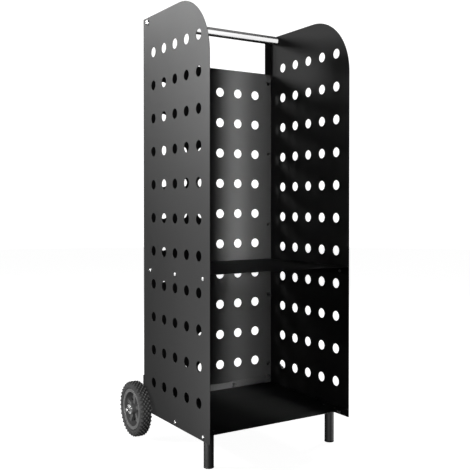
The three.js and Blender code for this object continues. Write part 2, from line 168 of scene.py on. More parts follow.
class NodeGraph:
    """The nodes of one material."""

    def __init__(self, name: str) -> None:
        """Makes an empty material of that name."""
        self.material = bpy.data.materials.new(name)
        self.material.use_nodes = True
        self.tree = self.material.node_tree
        self.tree.nodes.clear()

    def node(self, kind: str, settings: dict, sockets: dict) -> bpy.types.Node:
        """Adds a node of any type.

        Args:
            kind: The node's type.
            settings: Its properties, set first.
            sockets: Values or signals for its inputs, by name or number.

        Returns:
            The new node.
        """
        node = self.tree.nodes.new(kind)
        for name, value in settings.items():
            setattr(node, name, value)
        for key, value in sockets.items():
            if isinstance(value, Signal):
                self.tree.links.new(value.socket, node.inputs[key])
            else:
                node.inputs[key].default_value = value
        return node

    def out(self, kind: str, settings: dict, sockets: dict, output: int | str = 0) -> Signal:
        """Adds a node and gives one of its outputs.

        Args:
            kind: The node's type.
            settings: Its properties.
            sockets: Its inputs.
            output: The output's name or number.

        Returns:
            That output.
        """
        return Signal(self, self.node(kind, settings, sockets).outputs[output])

    def place(self, stretch: tuple[float, float, float] = (1, 1, 1)) -> Signal:
        """Object coordinates, stretched along the axes.

        Args:
            stretch: How much finer a pattern is along each axis.

        Returns:
            The coordinates.
        """
        here = self.out("ShaderNodeTexCoord", {}, {}, "Object")
        return self.out("ShaderNodeMapping", {}, {"Vector": here, "Scale": stretch})

    def noise(self, where: Signal, scale: float, detail: float = 2.0, rough: float = 0.5) -> Signal:
        """Noise from 0 to 1.

        Args:
            where: The coordinates.
            scale: Its fineness, in waves to the metre.
            detail: Its octaves.
            rough: How strong the fine octaves are.

        Returns:
            The noise.
        """
        sockets = {"Vector": where, "Scale": scale, "Detail": detail, "Roughness": rough}
        return self.out("ShaderNodeTexNoise", {}, sockets, "Fac")

    def mix(self, share: Signal, low: Colour, high: Colour) -> Signal:
        """A colour between two.

        Args:
            share: How much of the second there is.
            low: The first colour.
            high: The second colour.

        Returns:
            The mixed colour.
        """
        settings = {"data_type": "RGBA", "clamp_factor": True}
        return self.out("ShaderNodeMix", settings, {0: share, 6: low, 7: high}, 2)

    def bump(self, height: Signal, depth: float, strength: float = 1.0) -> Signal:
        """A normal bent by a height.

        Args:
            height: The height from 0 to 1.
            depth: How deep it is in metres.
            strength: How much of it shows.

        Returns:
            The normal.
        """
        sockets = {"Height": height, "Distance": depth, "Strength": strength}
        return self.out("ShaderNodeBump", {}, sockets, "Normal")

    def shade(self, sockets: dict) -> bpy.types.Material:
        """Ends the graph in a Principled shader.

        Args:
            sockets: Values or signals for its inputs.

        Returns:
            The finished material.
        """
        shader = self.out("ShaderNodeBsdfPrincipled", {}, sockets, "BSDF")
        self.node("ShaderNodeOutputMaterial", {}, {"Surface": shader})
        return self.material


def grey(level: float, warmth: float = 0.0) -> Colour:
    """A grey, a little redder than blue when its warmth is above 0."""
    return (level * (1 + warmth), level, level * (1 - warmth), 1.0)


# ---- finishes ----


@dataclass(frozen=True)
class PowderCoat:
    """Fine matt black powder coat on sheet steel."""

    slot: str = "powder_coat"
    dark: float = 0.006
    light: float = 0.009
    roughness: float = 0.58
    spread: float = 0.06
    patch: float = 7.0
    grain: float = 1500.0
    grain_depth: float = 0.04 * MM
    gloss: float = 0.5

    def material(self) -> bpy.types.Material:
        """The coat: a fine grain, with a slow change in its colour and sheen."""
        graph = NodeGraph("matt_powder_coat")
        here = graph.place()
        cloud = graph.noise(here, self.patch, 3.0)
        speck = graph.noise(here, self.grain, 2.0, 0.6)
        peel = graph.noise(here, self.grain / 5, 1.0)
        height = speck * 0.7 + peel * 0.3
        return graph.shade({
            "Base Color": graph.mix(cloud * 0.6 + speck * 0.4, grey(self.dark), grey(self.light)),
            "Roughness": self.roughness + (cloud - 0.5) * self.spread + (speck - 0.5) * self.spread,
            "Normal": graph.bump(height, self.grain_depth, 0.6),
            "Specular IOR Level": self.gloss,
        })


@dataclass(frozen=True)
class Chrome:
    """Bright plating on the handle, with fine marks along the tube."""

    slot: str = "handle_chrome"
    bright: float = 0.86
    dull: float = 0.74
    roughness: float = 0.13
    stretch: tuple[float, float, float] = (0.05, 1.0, 1.0)
    marks: float = 900.0
    haze: float = 25.0
    mark_depth: float = 0.02 * MM

    def material(self) -> bpy.types.Material:
        """The plating: marks drawn out along X, and faint handling haze."""
        graph = NodeGraph("handle_plating")
        marks = graph.noise(graph.place(self.stretch), self.marks, 2.0)
        haze = graph.noise(graph.place(), self.haze, 2.0)
        return graph.shade({
            "Base Color": graph.mix(haze, grey(self.dull), grey(self.bright)),
            "Metallic": 1.0,
            "Roughness": self.roughness + marks * 0.05 + haze * 0.04,
            "Normal": graph.bump(marks, self.mark_depth, 0.4),
        })


@dataclass(frozen=True)
class ZincPlate:
    """Bright zinc plating on the fasteners and the axle."""

    slot: str = "zinc"
    bright: float = 0.80
    dull: float = 0.55
    crystal: float = 420.0
    haze: float = 160.0
    haze_depth: float = 0.03 * MM

    def material(self) -> bpy.types.Material:
        """The plating: faint crystals with a little haze over them."""
        graph = NodeGraph("zinc_plating")
        here = graph.place()
        sockets = {"Vector": here, "Scale": self.crystal}
        crystals = graph.out("ShaderNodeTexVoronoi", {"feature": "F1"}, sockets, "Distance")
        haze = graph.noise(here, self.haze, 3.0)
        return graph.shade({
            "Base Color": graph.mix(crystals * 0.5 + haze * 0.5, grey(self.bright), grey(self.dull)),
            "Metallic": 1.0,
            "Roughness": 0.24 + haze * 0.16,
            "Normal": graph.bump(haze, self.haze_depth, 0.4),
        })


@dataclass(frozen=True)
class BlackSteel:
    """Blackened steel on the back panel's screws."""

    slot: str = "black_steel"
    colour: float = 0.035
    rub: float = 500.0
    rub_depth: float = 0.03 * MM

    def material(self) -> bpy.types.Material:
        """The blackening, rubbed a little lighter in places."""
        graph = NodeGraph("blackened_steel")
        rub = graph.noise(graph.place(), self.rub, 3.0)
        return graph.shade({
            "Base Color": graph.mix(rub, grey(self.colour * 0.6), grey(self.colour * 1.8)),
            "Metallic": 0.7,
            "Roughness": 0.32 + rub * 0.18,
            "Normal": graph.bump(rub, self.rub_depth, 0.4),
        })


@dataclass(frozen=True)
class Rubber:
    """Vulcanised rubber of the tyres, greyer on the worn tops of the knobs."""

    slot: str = "tyre"
    wall_dark: float = 0.030
    wall_light: float = 0.048
    knob_dark: float = 0.060
    knob_light: float = 0.130
    tread: float = 69.7 * MM
    worn: float = 1.6 * MM
    bloom: float = 60.0
    pebble: float = 1100.0
    pebble_depth: float = 0.12 * MM

    def above_tread(self, graph: NodeGraph) -> Signal:
        """How far a point is up the knobs, from 0 in the grooves to 1 on the tops.

        Args:
            graph: The material's nodes.

        Returns:
            The share, from the distance to the axle.
        """
        low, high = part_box("axle")
        middle = (low + high) / 2
        here = graph.out("ShaderNodeTexCoord", {}, {}, "Object")
        kind = "ShaderNodeVectorMath"
        flat = graph.out(kind, {"operation": "MULTIPLY"}, {0: here, 1: (0, 1, 1)})
        centre = (0, middle.y, middle.z)
        radius = graph.out(kind, {"operation": "DISTANCE"}, {0: flat, 1: centre}, "Value")
        return (radius - self.tread) * (1 / self.worn)

    def material(self) -> bpy.types.Material:
        """The rubber: dull, with a fine pebble, and greyer where the knobs are worn."""
        graph = NodeGraph("tyre_rubber")
        here = graph.place()
        bloom = graph.noise(here, self.bloom, 4.0, 0.6)
        pebble = graph.noise(here, self.pebble, 2.0)
        wall = graph.mix(bloom, grey(self.wall_dark), grey(self.wall_light))
        knob = graph.mix(bloom, grey(self.knob_dark), grey(self.knob_light, 0.02))
        return graph.shade({
            "Base Color": graph.mix(self.above_tread(graph), wall, knob),
            "Roughness": 0.62 + bloom * 0.2,
            "Normal": graph.bump(pebble * 0.6 + bloom * 0.4, self.pebble_depth, 0.6),
            "Specular IOR Level": 0.4,
        })


@dataclass(frozen=True)
class MouldedPlastic:
    """Moulded polypropylene of the hubs or the foot caps."""

    slot: str
    dark: float
    light: float
    roughness: float = 0.42
    flow: float = 35.0
    texture: float = 1300.0
    texture_depth: float = 0.05 * MM

    def material(self) -> bpy.types.Material:
        """The plastic: a spark-eroded texture with faint flow marks."""
        graph = NodeGraph(f"moulded_{self.slot}")
        here = graph.place()
        flow = graph.noise(here, self.flow, 3.0)
        texture = graph.noise(here, self.texture, 1.0)
        return graph.shade({
            "Base Color": graph.mix(flow, grey(self.dark), grey(self.light)),
            "Roughness": self.roughness + (flow - 0.5) * 0.12,
            "Normal": graph.bump(texture, self.texture_depth, 0.5),
        })


@dataclass(frozen=True)
class SinteredBronze:
    """Sintered bronze of the wheel bushes."""

    slot: str = "bronze"
    oiled: Colour = (0.16, 0.11, 0.06, 1.0)
    bare: Colour = (0.42, 0.30, 0.16, 1.0)
    pores: float = 900.0
    pore_depth: float = 0.05 * MM

    def material(self) -> bpy.types.Material:
        """The bronze: open pores, darker with oil."""
        graph = NodeGraph("sintered_bronze")
        pores = graph.noise(graph.place(), self.pores, 3.0, 0.65)
        return graph.shade({
            "Base Color": graph.mix(pores, self.oiled, self.bare),
            "Metallic": 0.9,
            "Roughness": 0.36 + pores * 0.15,
            "Normal": graph.bump(pores, self.pore_depth, 0.5),
        })


@dataclass
class FinishShelf:
    """The materials that have been made, so that each finish is made once."""

    made: dict = field(default_factory=dict)

    def get(self, finish: object) -> bpy.types.Material:
        """The material of a finish, made when it is first asked for."""
        if finish not in self.made:
            self.made[finish] = finish.material()
        return self.made[finish]


MATERIALS = FinishShelf()
COAT = PowderCoat()
CHROME = Chrome()
ZINC = ZincPlate()
BLACK = BlackSteel()
RUBBER = Rubber()
HUB_PLASTIC = MouldedPlastic("hub_plastic", 0.070, 0.105)
CAP_PLASTIC = MouldedPlastic("black_plastic", 0.018, 0.030)
BRONZE = SinteredBronze()


# ---- mesh work ----


def publish(
    name: str, bm: bmesh.types.BMesh, finish: object, body: Body, stands_for: Sequence[str] = (),
) -> bpy.types.Object:
    """Makes a finished piece from a bmesh and ties it to the frame.

    Args:
        name: The piece's name.
        bm: Its shape, in place; freed here.
        finish: Its finish.
        body: The CAD body that it rides on.
        stands_for: The CAD nodes that it replaces.

    Returns:
        The new object.
    """
    mesh = bpy.data.meshes.new(name)
    bm.to_mesh(mesh)
    bm.free()
    mesh.shade_smooth()
    piece = bpy.data.objects.new(name, mesh)
    bpy.context.scene.collection.objects.link(piece)
    piece.data.materials.append(MATERIALS.get(finish))
    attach(piece, body.value)
    if stands_for:
        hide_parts(*stands_for)
    return piece


def soften(piece: bpy.types.Object, width: float, segments: int = 2, limit: float = 35.0) -> None:
    """Rounds a piece's sharp edges.

    Args:
        piece: The piece.
        width: The width of the rounding.
        segments: Its steps.
        limit: The least angle, in degrees, of an edge that is rounded.
    """
    bevel = piece.modifiers.new("edge_rounding", "BEVEL")
    bevel.width = width
    bevel.segments = segments
    bevel.limit_method = "ANGLE"
    bevel.angle_limit = math.radians(limit)
    bevel.use_clamp_overlap = False
    bevel.harden_normals = True


def aimed(direction: Vector, place: Vector) -> Matrix:
    """Turns local +Z towards a direction and moves the origin to a place."""
    turn = Vector((0, 0, 1)).rotation_difference(direction).to_matrix().to_4x4()
    return Matrix.Translation(place) @ turn


def settle(bm: bmesh.types.BMesh, place: Matrix | None = None) -> bmesh.types.BMesh:
    """Merges doubles, points the faces outwards and puts the shape in place.

    Args:
        bm: The shape.
        place: Where it goes.

    Returns:
        The same bmesh.
    """
    bmesh.ops.remove_doubles(bm, verts=bm.verts[:], dist=WELD_DISTANCE)
    if place is not None:
        bmesh.ops.transform(bm, matrix=place, verts=bm.verts[:])
    bmesh.ops.recalc_face_normals(bm, faces=bm.faces[:])
    return bm


def turned(bm: bmesh.types.BMesh, profile: Sequence[Point], steps: int, closed: bool = False) -> None:
    """Spins a profile round the local Z axis.

    Args:
        bm: Where the shape is added.
        profile: Radii and heights, in order.
        steps: The steps of a full turn.
        closed: Whether the profile is joined back to its start, as a ring's is.
    """
    verts = [bm.verts.new((radius, 0, height)) for radius, height in profile]
    pairs = list(zip(verts, verts[1:]))
    if closed:
        pairs.append((verts[-1], verts[0]))
    edges = [bm.edges.new(pair) for pair in pairs]
    bmesh.ops.spin(
        bm, geom=verts + edges, cent=(0, 0, 0), axis=(0, 0, 1), dvec=(0, 0, 0), angle=FULL_TURN,
        steps=steps, use_merge=True, use_normal_flip=False, use_duplicate=False,
    )


def chamfered(bore: float, outer: float, half: float, ease: float) -> list[Point]:
    """The section of a turned part with chamfered ends, for `turned`.

    Args:
        bore: The radius of its hole, or 0.
        outer: Its outer radius.
        half: Half its length.
        ease: The chamfer of its outer edges.

    Returns:
        Radii and heights, from the lower end to the upper one.
    """
    upper = [(outer, half - ease), (outer - ease, half), (bore, half)]
    return [(radius, -height) for radius, height in reversed(upper)] + upper


def even(radius: float) -> Callable[[float], float]:
    """A ring's reach when it is round."""
    return lambda angle: radius


def hexagon(half_width: float) -> Callable[[float], float]:
    """A ring's reach when it is a hexagon of that half width across its flats."""
    sixth = math.pi / 3
    return lambda angle: half_width / math.cos((angle % sixth) - sixth / 2)


def cross(core: float, arm: float) -> Callable[[float], float]:
    """A ring's reach when it is a cross with a core and four arms."""
    return lambda angle: core + (arm - core) * abs(math.cos(2 * angle)) ** 3


def ring(bm: bmesh.types.BMesh, reach: Callable[[float], float], height: float, segments: int) -> list:
    """Adds a closed ring whose distance from the axis may change with the angle.

    Args:
        bm: Where the ring is added.
        reach: The distance at an angle.
        height: Its height on the local Z axis.
        segments: Its edges.

    Returns:
        Its edges.
    """
    place = Matrix.Translation((0, 0, height))
    made = bmesh.ops.create_circle(bm, cap_ends=False, radius=1.0, segments=segments, matrix=place)
    for vert in made["verts"]:
        distance = reach(math.atan2(vert.co.y, vert.co.x))
        vert.co.x *= distance
        vert.co.y *= distance
    return list(dict.fromkeys(edge for vert in made["verts"] for edge in vert.link_edges))


def lofted(
    bm: bmesh.types.BMesh, rings: Sequence[tuple[Callable[[float], float], float]], segments: int,
    looped: bool = False,
) -> None:
    """Joins rings into one skin, with flat ends unless it is looped.

    Args:
        bm: Where the shape is added.
        rings: Reaches and heights, in order.
        segments: The edges of each ring.
        looped: Whether the last ring is joined to the first, as a nut's are.
    """
    loops = [ring(bm, reach, height, segments) for reach, height in rings]
    pairs = list(zip(loops, loops[1:]))
    if looped:
        pairs.append((loops[-1], loops[0]))
    else:
        bmesh.ops.edgeloop_fill(bm, edges=loops[0])
        bmesh.ops.edgeloop_fill(bm, edges=loops[-1])
    for first, second in pairs:
        bmesh.ops.bridge_loops(bm, edges=first + second)


def swept(
    path: Sequence[Vector], radius: float, closed: bool = False, sides: int = 3,
) -> bmesh.types.BMesh:
    """A round wire along a path.

    Args:
        path: The points that the wire follows.
        radius: The wire's radius.
        closed: Whether the path is a ring.
        sides: How fine the wire's section is.

    Returns:
        The wire as a bmesh.
    """
    curve = bpy.data.curves.new("wire", "CURVE")
    curve.dimensions = "3D"
    curve.bevel_depth = radius
    curve.bevel_resolution = sides
    curve.use_fill_caps = not closed
    spline = curve.splines.new("POLY")
    spline.points.add(len(path) - 1)
    for point, place in zip(spline.points, path):
        point.co = (*place, 1.0)
    spline.use_cyclic_u = closed
    holder = bpy.data.objects.new("wire", curve)
    bm = bmesh.new()
    mesh = bpy.data.meshes.new_from_object(holder)
    bm.from_mesh(mesh)
    bpy.data.objects.remove(holder)
    bpy.data.meshes.remove(mesh)
    bpy.data.curves.remove(curve)
    return settle(bm)


def inset(
    bm: bmesh.types.BMesh, faces: Sequence[bmesh.types.BMFace], width: float, depth: float,
) -> None:
    """Insets each of the faces by itself and raises or sinks what is left of it.

    Args:
        bm: The shape.
        faces: The faces.
        width: The width of the border.
        depth: How far the middle is raised.
    """
    bmesh.ops.inset_individual(bm, faces=faces, thickness=width, depth=depth, use_even_offset=True)


def merged(bm: bmesh.types.BMesh, other: bmesh.types.BMesh) -> None:
    """Adds another bmesh's geometry to a bmesh and frees the other."""
    mesh = bpy.data.meshes.new("part")
    other.to_mesh(mesh)
    other.free()
    bm.from_mesh(mesh)
    bpy.data.meshes.remove(mesh)


# ---- sheet metal ----


@dataclass(frozen=True)
class Fold:
    """A right-angled fold of a blank, made in small steps round its bend."""

    along: Along
    side: int
    corner: float
    radius: float
    turn: Turn = Turn.AWAY
    steps: int = 6

    @property
    def step(self) -> float:
        """The angle of one step."""
        return RIGHT_ANGLE / self.steps

    @property
    def chord(self) -> float:
        """The width of one strip of the bend."""
        return 2 * self.radius * math.tan(self.step / 2)

    @property
    def bend(self) -> float:
        """How far the bend reaches, along the blank and out of it alike."""
        return self.chord * sum(math.cos(k * self.step) for k in range(1, self.steps))

    @property
    def first(self) -> float:
        """The place of the first crease, as a distance from the blank's zero line."""
        return self.corner - self.bend

    @property
    def last(self) -> float:
        """The place of the last crease."""
        return self.first + (self.steps - 1) * self.chord

    def flat(self, height: float) -> float:
        """Where a point of the flange is on the flat blank, with its side's sign.

        Args:
            height: The point's height above or below the drawn face after folding.

        Returns:
            Its place along the blank.
        """
        return self.side * (self.last + height - self.bend)

    def cuts(self, support: float) -> list[float]:
        """The lines to cut before folding: each crease and a support on either side."""
        creases = [self.first + k * self.chord for k in range(self.steps)]
        return [self.first - support, *creases, self.last + support]

    def normal(self) -> Vector:
        """The direction in which the blank runs on past the fold."""
        axis = Vector((0, 0, 0))
        axis[self.along.value] = self.side
        return axis

    def apply(self, bm: bmesh.types.BMesh) -> None:
        """Folds everything beyond the first crease, from the last crease back to the first."""
        runs_on = self.normal()
        hinge = runs_on.cross(Vector((0, 0, -1))) * self.turn.value
        beyond = {vert: vert.co.dot(runs_on) for vert in bm.verts}
        for k in reversed(range(self.steps)):
            line = self.first + k * self.chord
            moved = [vert for vert, place in beyond.items() if place > line + WELD_DISTANCE / 10]
            turn = Matrix.Rotation(self.step, 3, hinge)
            bmesh.ops.rotate(bm, verts=moved, cent=runs_on * line, matrix=turn)


@dataclass
class Blank:
    """A flat sheet with rounded corners and punched holes, ready to be folded."""

    corners: Sequence[Round]
    holes: Sequence[Round] = ()
    folds: Sequence[Fold] = ()
    thickness: float = 1.2 * MM
    edge: float = 0.28 * MM
    support: float = 1.6 * MM
    large_corner: float = 20.0 * MM
    large_hole: float = 6.0 * MM
    corner_steps: tuple[int, int] = (6, 28)
    hole_steps: tuple[int, int] = (20, 48)

    def outlined(self) -> bmesh.types.BMesh:
        """Draws the outline and rounds its corners.

        Returns:
            A bmesh that holds the outline's edges only.
        """
        bm = bmesh.new()
        verts = [bm.verts.new((u, v, 0)) for u, v, _ in self.corners]
        face = bm.faces.new(verts)
        for vert, (_, _, radius) in zip(verts, self.corners):
            if radius > 0:
                bmesh.ops.bevel(
                    bm, geom=[vert], offset=radius, offset_type="OFFSET", profile=0.5, material=-1,
                    segments=self.corner_steps[radius > self.large_corner], affect="VERTICES",
                    clamp_overlap=False,
                )
        bmesh.ops.delete(bm, geom=bm.faces[:], context="FACES_ONLY")
        return bm

    def punched(self) -> bmesh.types.BMesh:
        """Fills the outline round its holes.

        Returns:
            The flat sheet, its drawn face up.
        """
        bm = self.outlined()
        for u, v, radius in self.holes:
            bmesh.ops.create_circle(
                bm, cap_ends=False, radius=radius, matrix=Matrix.Translation((u, v, 0)),
                segments=self.hole_steps[radius > self.large_hole],
            )
        bmesh.ops.triangle_fill(bm, use_beauty=True, use_dissolve=False, edges=bm.edges[:])
        turned_over = [face for face in bm.faces if face.normal.z < 0]
        bmesh.ops.reverse_faces(bm, faces=turned_over)
        return bm

    def folded(self, place: Matrix) -> bmesh.types.BMesh:
        """Cuts and folds the sheet and puts it in place.

        Args:
            place: Where u, v and the drawn face's direction go.

        Returns:
            The folded sheet without its thickness.
        """
        bm = self.punched()
        for fold in self.folds:
            for line in fold.cuts(self.support):
                bmesh.ops.bisect_plane(
                    bm, geom=bm.verts[:] + bm.edges[:] + bm.faces[:], dist=WELD_DISTANCE,
                    plane_co=fold.normal() * line, plane_no=fold.normal(),
                )
        for fold in self.folds:
            fold.apply(bm)
        bmesh.ops.transform(bm, matrix=place, verts=bm.verts[:])
        if place.determinant() < 0:
            bmesh.ops.reverse_faces(bm, faces=bm.faces[:])
        return bm

    def made(
        self, name: str, place: Matrix, finish: object, stands_for: Sequence[str],
    ) -> bpy.types.Object:
        """Makes the sheet a piece of its own.

        Args:
            name: The piece's name.
            place: Where u, v and the drawn face's direction go.
            finish: Its finish.
            stands_for: The CAD nodes that it replaces.

        Returns:
            The piece, with its thickness and rounded edges.
        """
        piece = publish(name, self.folded(place), finish, Body.RACK, stands_for)
        wall = piece.modifiers.new("sheet_thickness", "SOLIDIFY")
        wall.thickness = self.thickness
        wall.offset = -1
        wall.use_even_offset = True
        soften(piece, self.edge)
        return piece


def basis(u: Vector, v: Vector, face: Vector, origin: Vector) -> Matrix:
    """The matrix that sends a blank's u, v and face direction to the rack's axes."""
    turn = Matrix((u, v, face)).transposed().to_4x4()
    return Matrix.Translation(origin) @ turn


def rectangle(u: Point, v: Point, radius: float) -> list[Round]:
    """The corners of a rectangular blank, from its ranges of u and v and its corners' radius."""
    return [(u[0], v[0], radius), (u[1], v[0], radius), (u[1], v[1], radius), (u[0], v[1], radius)]


X = Vector((1, 0, 0))
Y = Vector((0, 1, 0))
Z = Vector((0, 0, 1))


# ---- fastenings ----


HEAD_DOME = (
    (0.985, 0.0), (1.0, 0.12), (1.0, 0.34), (0.95, 0.58), (0.84, 0.78), (0.68, 0.92), (0.54, 1.0),
)  # a screw head's section, as shares of its radius and its height


@dataclass(frozen=True)
class Screw:
    """A machine screw with a low domed head, its head towards local +Z."""

    shank: float = 2.4 * MM
    head: float = 4.8 * MM
    height: float = 2.4 * MM
    length: float = 8.0 * MM
    pitch: float = 0.8 * MM
    drive: Drive = Drive.CROSS
    segments: int = 24
    thread_depth: float = 0.25 * MM
    recess_floor: float = 0.35

    def thread(self) -> list[tuple[Callable[[float], float], float]]:
        """The rings of the shank, from its tip to the head's underside."""
        depth = self.thread_depth
        rings = [(even(self.shank - 2 * depth), -self.length)]
        height = -self.length + self.pitch / 2
        while height < -self.pitch:
            rings.append((even(self.shank), height))
            rings.append((even(self.shank - depth), height + self.pitch / 2))
            height += self.pitch
        rings.append((even(self.shank), 0.0))
        return rings

    def recess(self) -> Callable[[float], float]:
        """The reach of the recess in the head."""
        if self.drive is Drive.HEX:
            return hexagon(self.head * 0.34)
        return cross(self.head * 0.14, self.head * 0.46)

    def shape(self, place: Matrix) -> bmesh.types.BMesh:
        """Builds the screw.

        Args:
            place: Where it goes.

        Returns:
            The screw in place.
        """
        head, height = self.head, self.height
        rings = self.thread()
        rings += [(even(head * out), height * up) for out, up in HEAD_DOME]
        rings += [(self.recess(), height), (self.recess(), height * self.recess_floor)]
        bm = bmesh.new()
        lofted(bm, rings, self.segments)
        return settle(bm, place)


@dataclass(frozen=True)
class Nut:
    """A hexagon nut, its foot at local z = 0."""

    half_width: float = 4.0 * MM
    bore: float = 2.45 * MM
    height: float = 3.6 * MM
    chamfer: float = 0.5 * MM
    segments: int = 24

    def shape(self, place: Matrix) -> bmesh.types.BMesh:
        """Builds the nut.

        Args:
            place: Where it goes.

        Returns:
            The nut in place.
        """
        low, high = self.chamfer, self.height - self.chamfer
        rings = [
            (even(self.bore), 0.0), (even(self.half_width), 0.0), (hexagon(self.half_width), low),
            (hexagon(self.half_width), high), (even(self.half_width), self.height),
            (even(self.bore), self.height),
        ]
        bm = bmesh.new()
        lofted(bm, rings, self.segments, looped=True)
        return settle(bm, place)


@dataclass
class Fastener:
    """A screw in a known direction, with the nut that holds it."""

    node: str
    direction: Vector
    face: Vector
    screw: Screw
    finish: object
    grip: float
    nut: Nut = Nut()
    has_nut: bool = True

    def build(self) -> int:
        """Builds the screw and its nut in place of the CAD screw.

        Returns:
            How many pieces were made.
        """
        bm = self.screw.shape(aimed(self.direction, self.face))
        piece = publish(f"{self.node}.turned", bm, self.finish, Body.RACK, [self.node])
        soften(piece, 0.12 * MM, 1, 50.0)
        if not self.has_nut:
            return 1
        seat = self.face - self.direction * self.grip
        shape = self.nut.shape(aimed(-self.direction, seat))
        nut = publish(f"{self.node}.nut", shape, self.finish, Body.RACK)
        soften(nut, 0.15 * MM, 1, 40.0)
        return 2


def head_face(node: str, direction: Vector, length: float) -> Vector:
    """The place under a CAD screw's head, from the node's box.

    Args:
        node: The CAD screw.
        direction: Where its head points.
        length: The length of its shank.

    Returns:
        The point on its axis where the head meets the sheet.
    """
    low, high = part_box(node)
    middle = (low + high) / 2
    reach = max(abs((high - low).dot(direction)), 0.0) / 2
    return middle + direction * (length - reach)


# ---- sub-assemblies ----


@dataclass
class Punching:
    """The round holes that the side panels and the back panel share."""

    radius: float = 12.5 * MM
    column_pitch: float = 59.0 * MM
    row_pitch: float = 85.0 * MM

    def grid(self, start: Point, columns: int, rows: int) -> list[Round]:
        """The holes of one panel.

        Args:
            start: The first hole's centre.
            columns: How many columns there are.
            rows: How many rows there are.

        Returns:
            Each hole's centre and radius.
        """
        return [
            (start[0] + c * self.column_pitch, start[1] + r * self.row_pitch, self.radius)
            for c in range(columns) for r in range(rows)
        ]


PUNCHING = Punching()


@dataclass
class SidePanel:
    """One punched side panel with its rear edge folded inwards."""

    side: Side
    corner_radius: float = 148.0 * MM
    flange: float = 22.0 * MM
    bend: float = 2.2 * MM
    columns: int = 5
    rows: int = 11
    first_column: float = 51.0 * MM
    first_row: float = 83.0 * MM
    screw_hole: float = 2.7 * MM
    bolt_hole: float = 4.4 * MM
    flange_hole: float = 11.5 * MM
    corner: float = 2.0 * MM
    shelf_screws: Sequence[Point] = ()
    handle_bolt: Point = (0.0, 0.0)
    flange_screws: Sequence[float] = ()

    def build(self) -> int:
        """Builds the panel in place of its CAD node.

        Returns:
            How many pieces were made.
        """
        node = f"side_panel_{self.side.word}"
        low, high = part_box(node)
        fold = Fold(Along.U, 1, high.y, self.bend)
        tip = fold.flat(self.flange)
        corners = [
            (low.y, low.z, self.corner), (tip, low.z, self.corner), (tip, high.z, self.corner),
            (low.y, high.z, self.corner_radius),
        ]
        start = (low.y + self.first_column, low.z + self.first_row)
        holes = PUNCHING.grid(start, self.columns, self.rows)
        holes += [(y, z, self.screw_hole) for y, z in self.shelf_screws]
        holes.append((*self.handle_bolt, self.bolt_hole))
        holes += [(fold.flat(self.flange_hole), z, self.screw_hole) for z in self.flange_screws]
        outside = X * self.side.value
        outer_x = high.x if self.side is Side.RIGHT else -low.x
        place = basis(Y, Z, outside, outside * outer_x)
        Blank(corners, holes, [fold]).made(f"side_sheet_{self.side.word}", place, COAT, [node])
        return 1


@dataclass
class BackPanel:
    """The flat punched sheet at the back."""

    columns: int = 6
    rows: int = 10
    first_row: float = 88.0 * MM
    screw_hole: float = 2.7 * MM
    corner: float = 1.5 * MM
    screws: Sequence[Point] = ()

    def build(self) -> int:
        """Builds the panel in place of its CAD node.

        Returns:
            How many pieces were made.
        """
        low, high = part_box("back_panel")
        corners = rectangle((low.x, high.x), (low.z, high.z), self.corner)
        first = -(self.columns - 1) * PUNCHING.column_pitch / 2
        holes = PUNCHING.grid((first, low.z + self.first_row), self.columns, self.rows)
        holes += [(x, z, self.screw_hole) for x, z in self.screws]
        place = basis(X, Z, -Y, Y * low.y)
        Blank(corners, holes).made("back_sheet", place, COAT, ["back_panel"])
        return 1


@dataclass
class Shelf:
    """A shelf with its side edges folded down and, low down, its rear edge folded up."""

    node: str
    rear_flange: bool
    drop: float = 20.0 * MM
    bend: float = 2.2 * MM
    inner_bend: float = 1.2 * MM
    thickness: float = 1.2 * MM
    notch: float = 3.0 * MM
    corner: float = 1.5 * MM
    screw_hole: float = 2.7 * MM
    side_screws: Sequence[Point] = ()
    rear_screws: Sequence[Point] = ()
    floor_screws: Sequence[Point] = ()

    def build(self) -> int:
        """Builds the shelf in place of its CAD node.

        Returns:
            How many pieces were made.
        """
        low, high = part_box(self.node)
        top = low.z + self.drop
        folds = [Fold(Along.U, side.value, high.x, self.bend) for side in Side]
        left, right = (fold.flat(self.drop) for fold in folds)
        holes = [(x, y, self.screw_hole) for x, y in self.floor_screws]
        holes += [
            (fold.flat(top - z), y, self.screw_hole) for fold in folds for y, z in self.side_screws
        ]
        edge = self.corner
        if self.rear_flange:
            rear = Fold(Along.V, 1, high.y - self.thickness, self.inner_bend, Turn.TOWARDS)
            folds.append(rear)
            tip = rear.flat(high.z - top)
            reach = high.x - self.bend - self.notch
            stop = rear.first - self.notch
            corners = [
                (left, low.y, edge), (right, low.y, edge), (right, stop, edge), (reach, stop, edge),
                (reach, tip, edge), (-reach, tip, edge), (-reach, stop, edge), (left, stop, edge),
            ]
            holes += [(x, rear.flat(z - top), self.screw_hole) for x, z in self.rear_screws]
        else:
            corners = rectangle((left, right), (low.y, high.y), edge)
        place = basis(X, Y, Z, Z * top)
        Blank(corners, holes, folds).made(f"{self.node}_sheet", place, COAT, [self.node])
        return 1


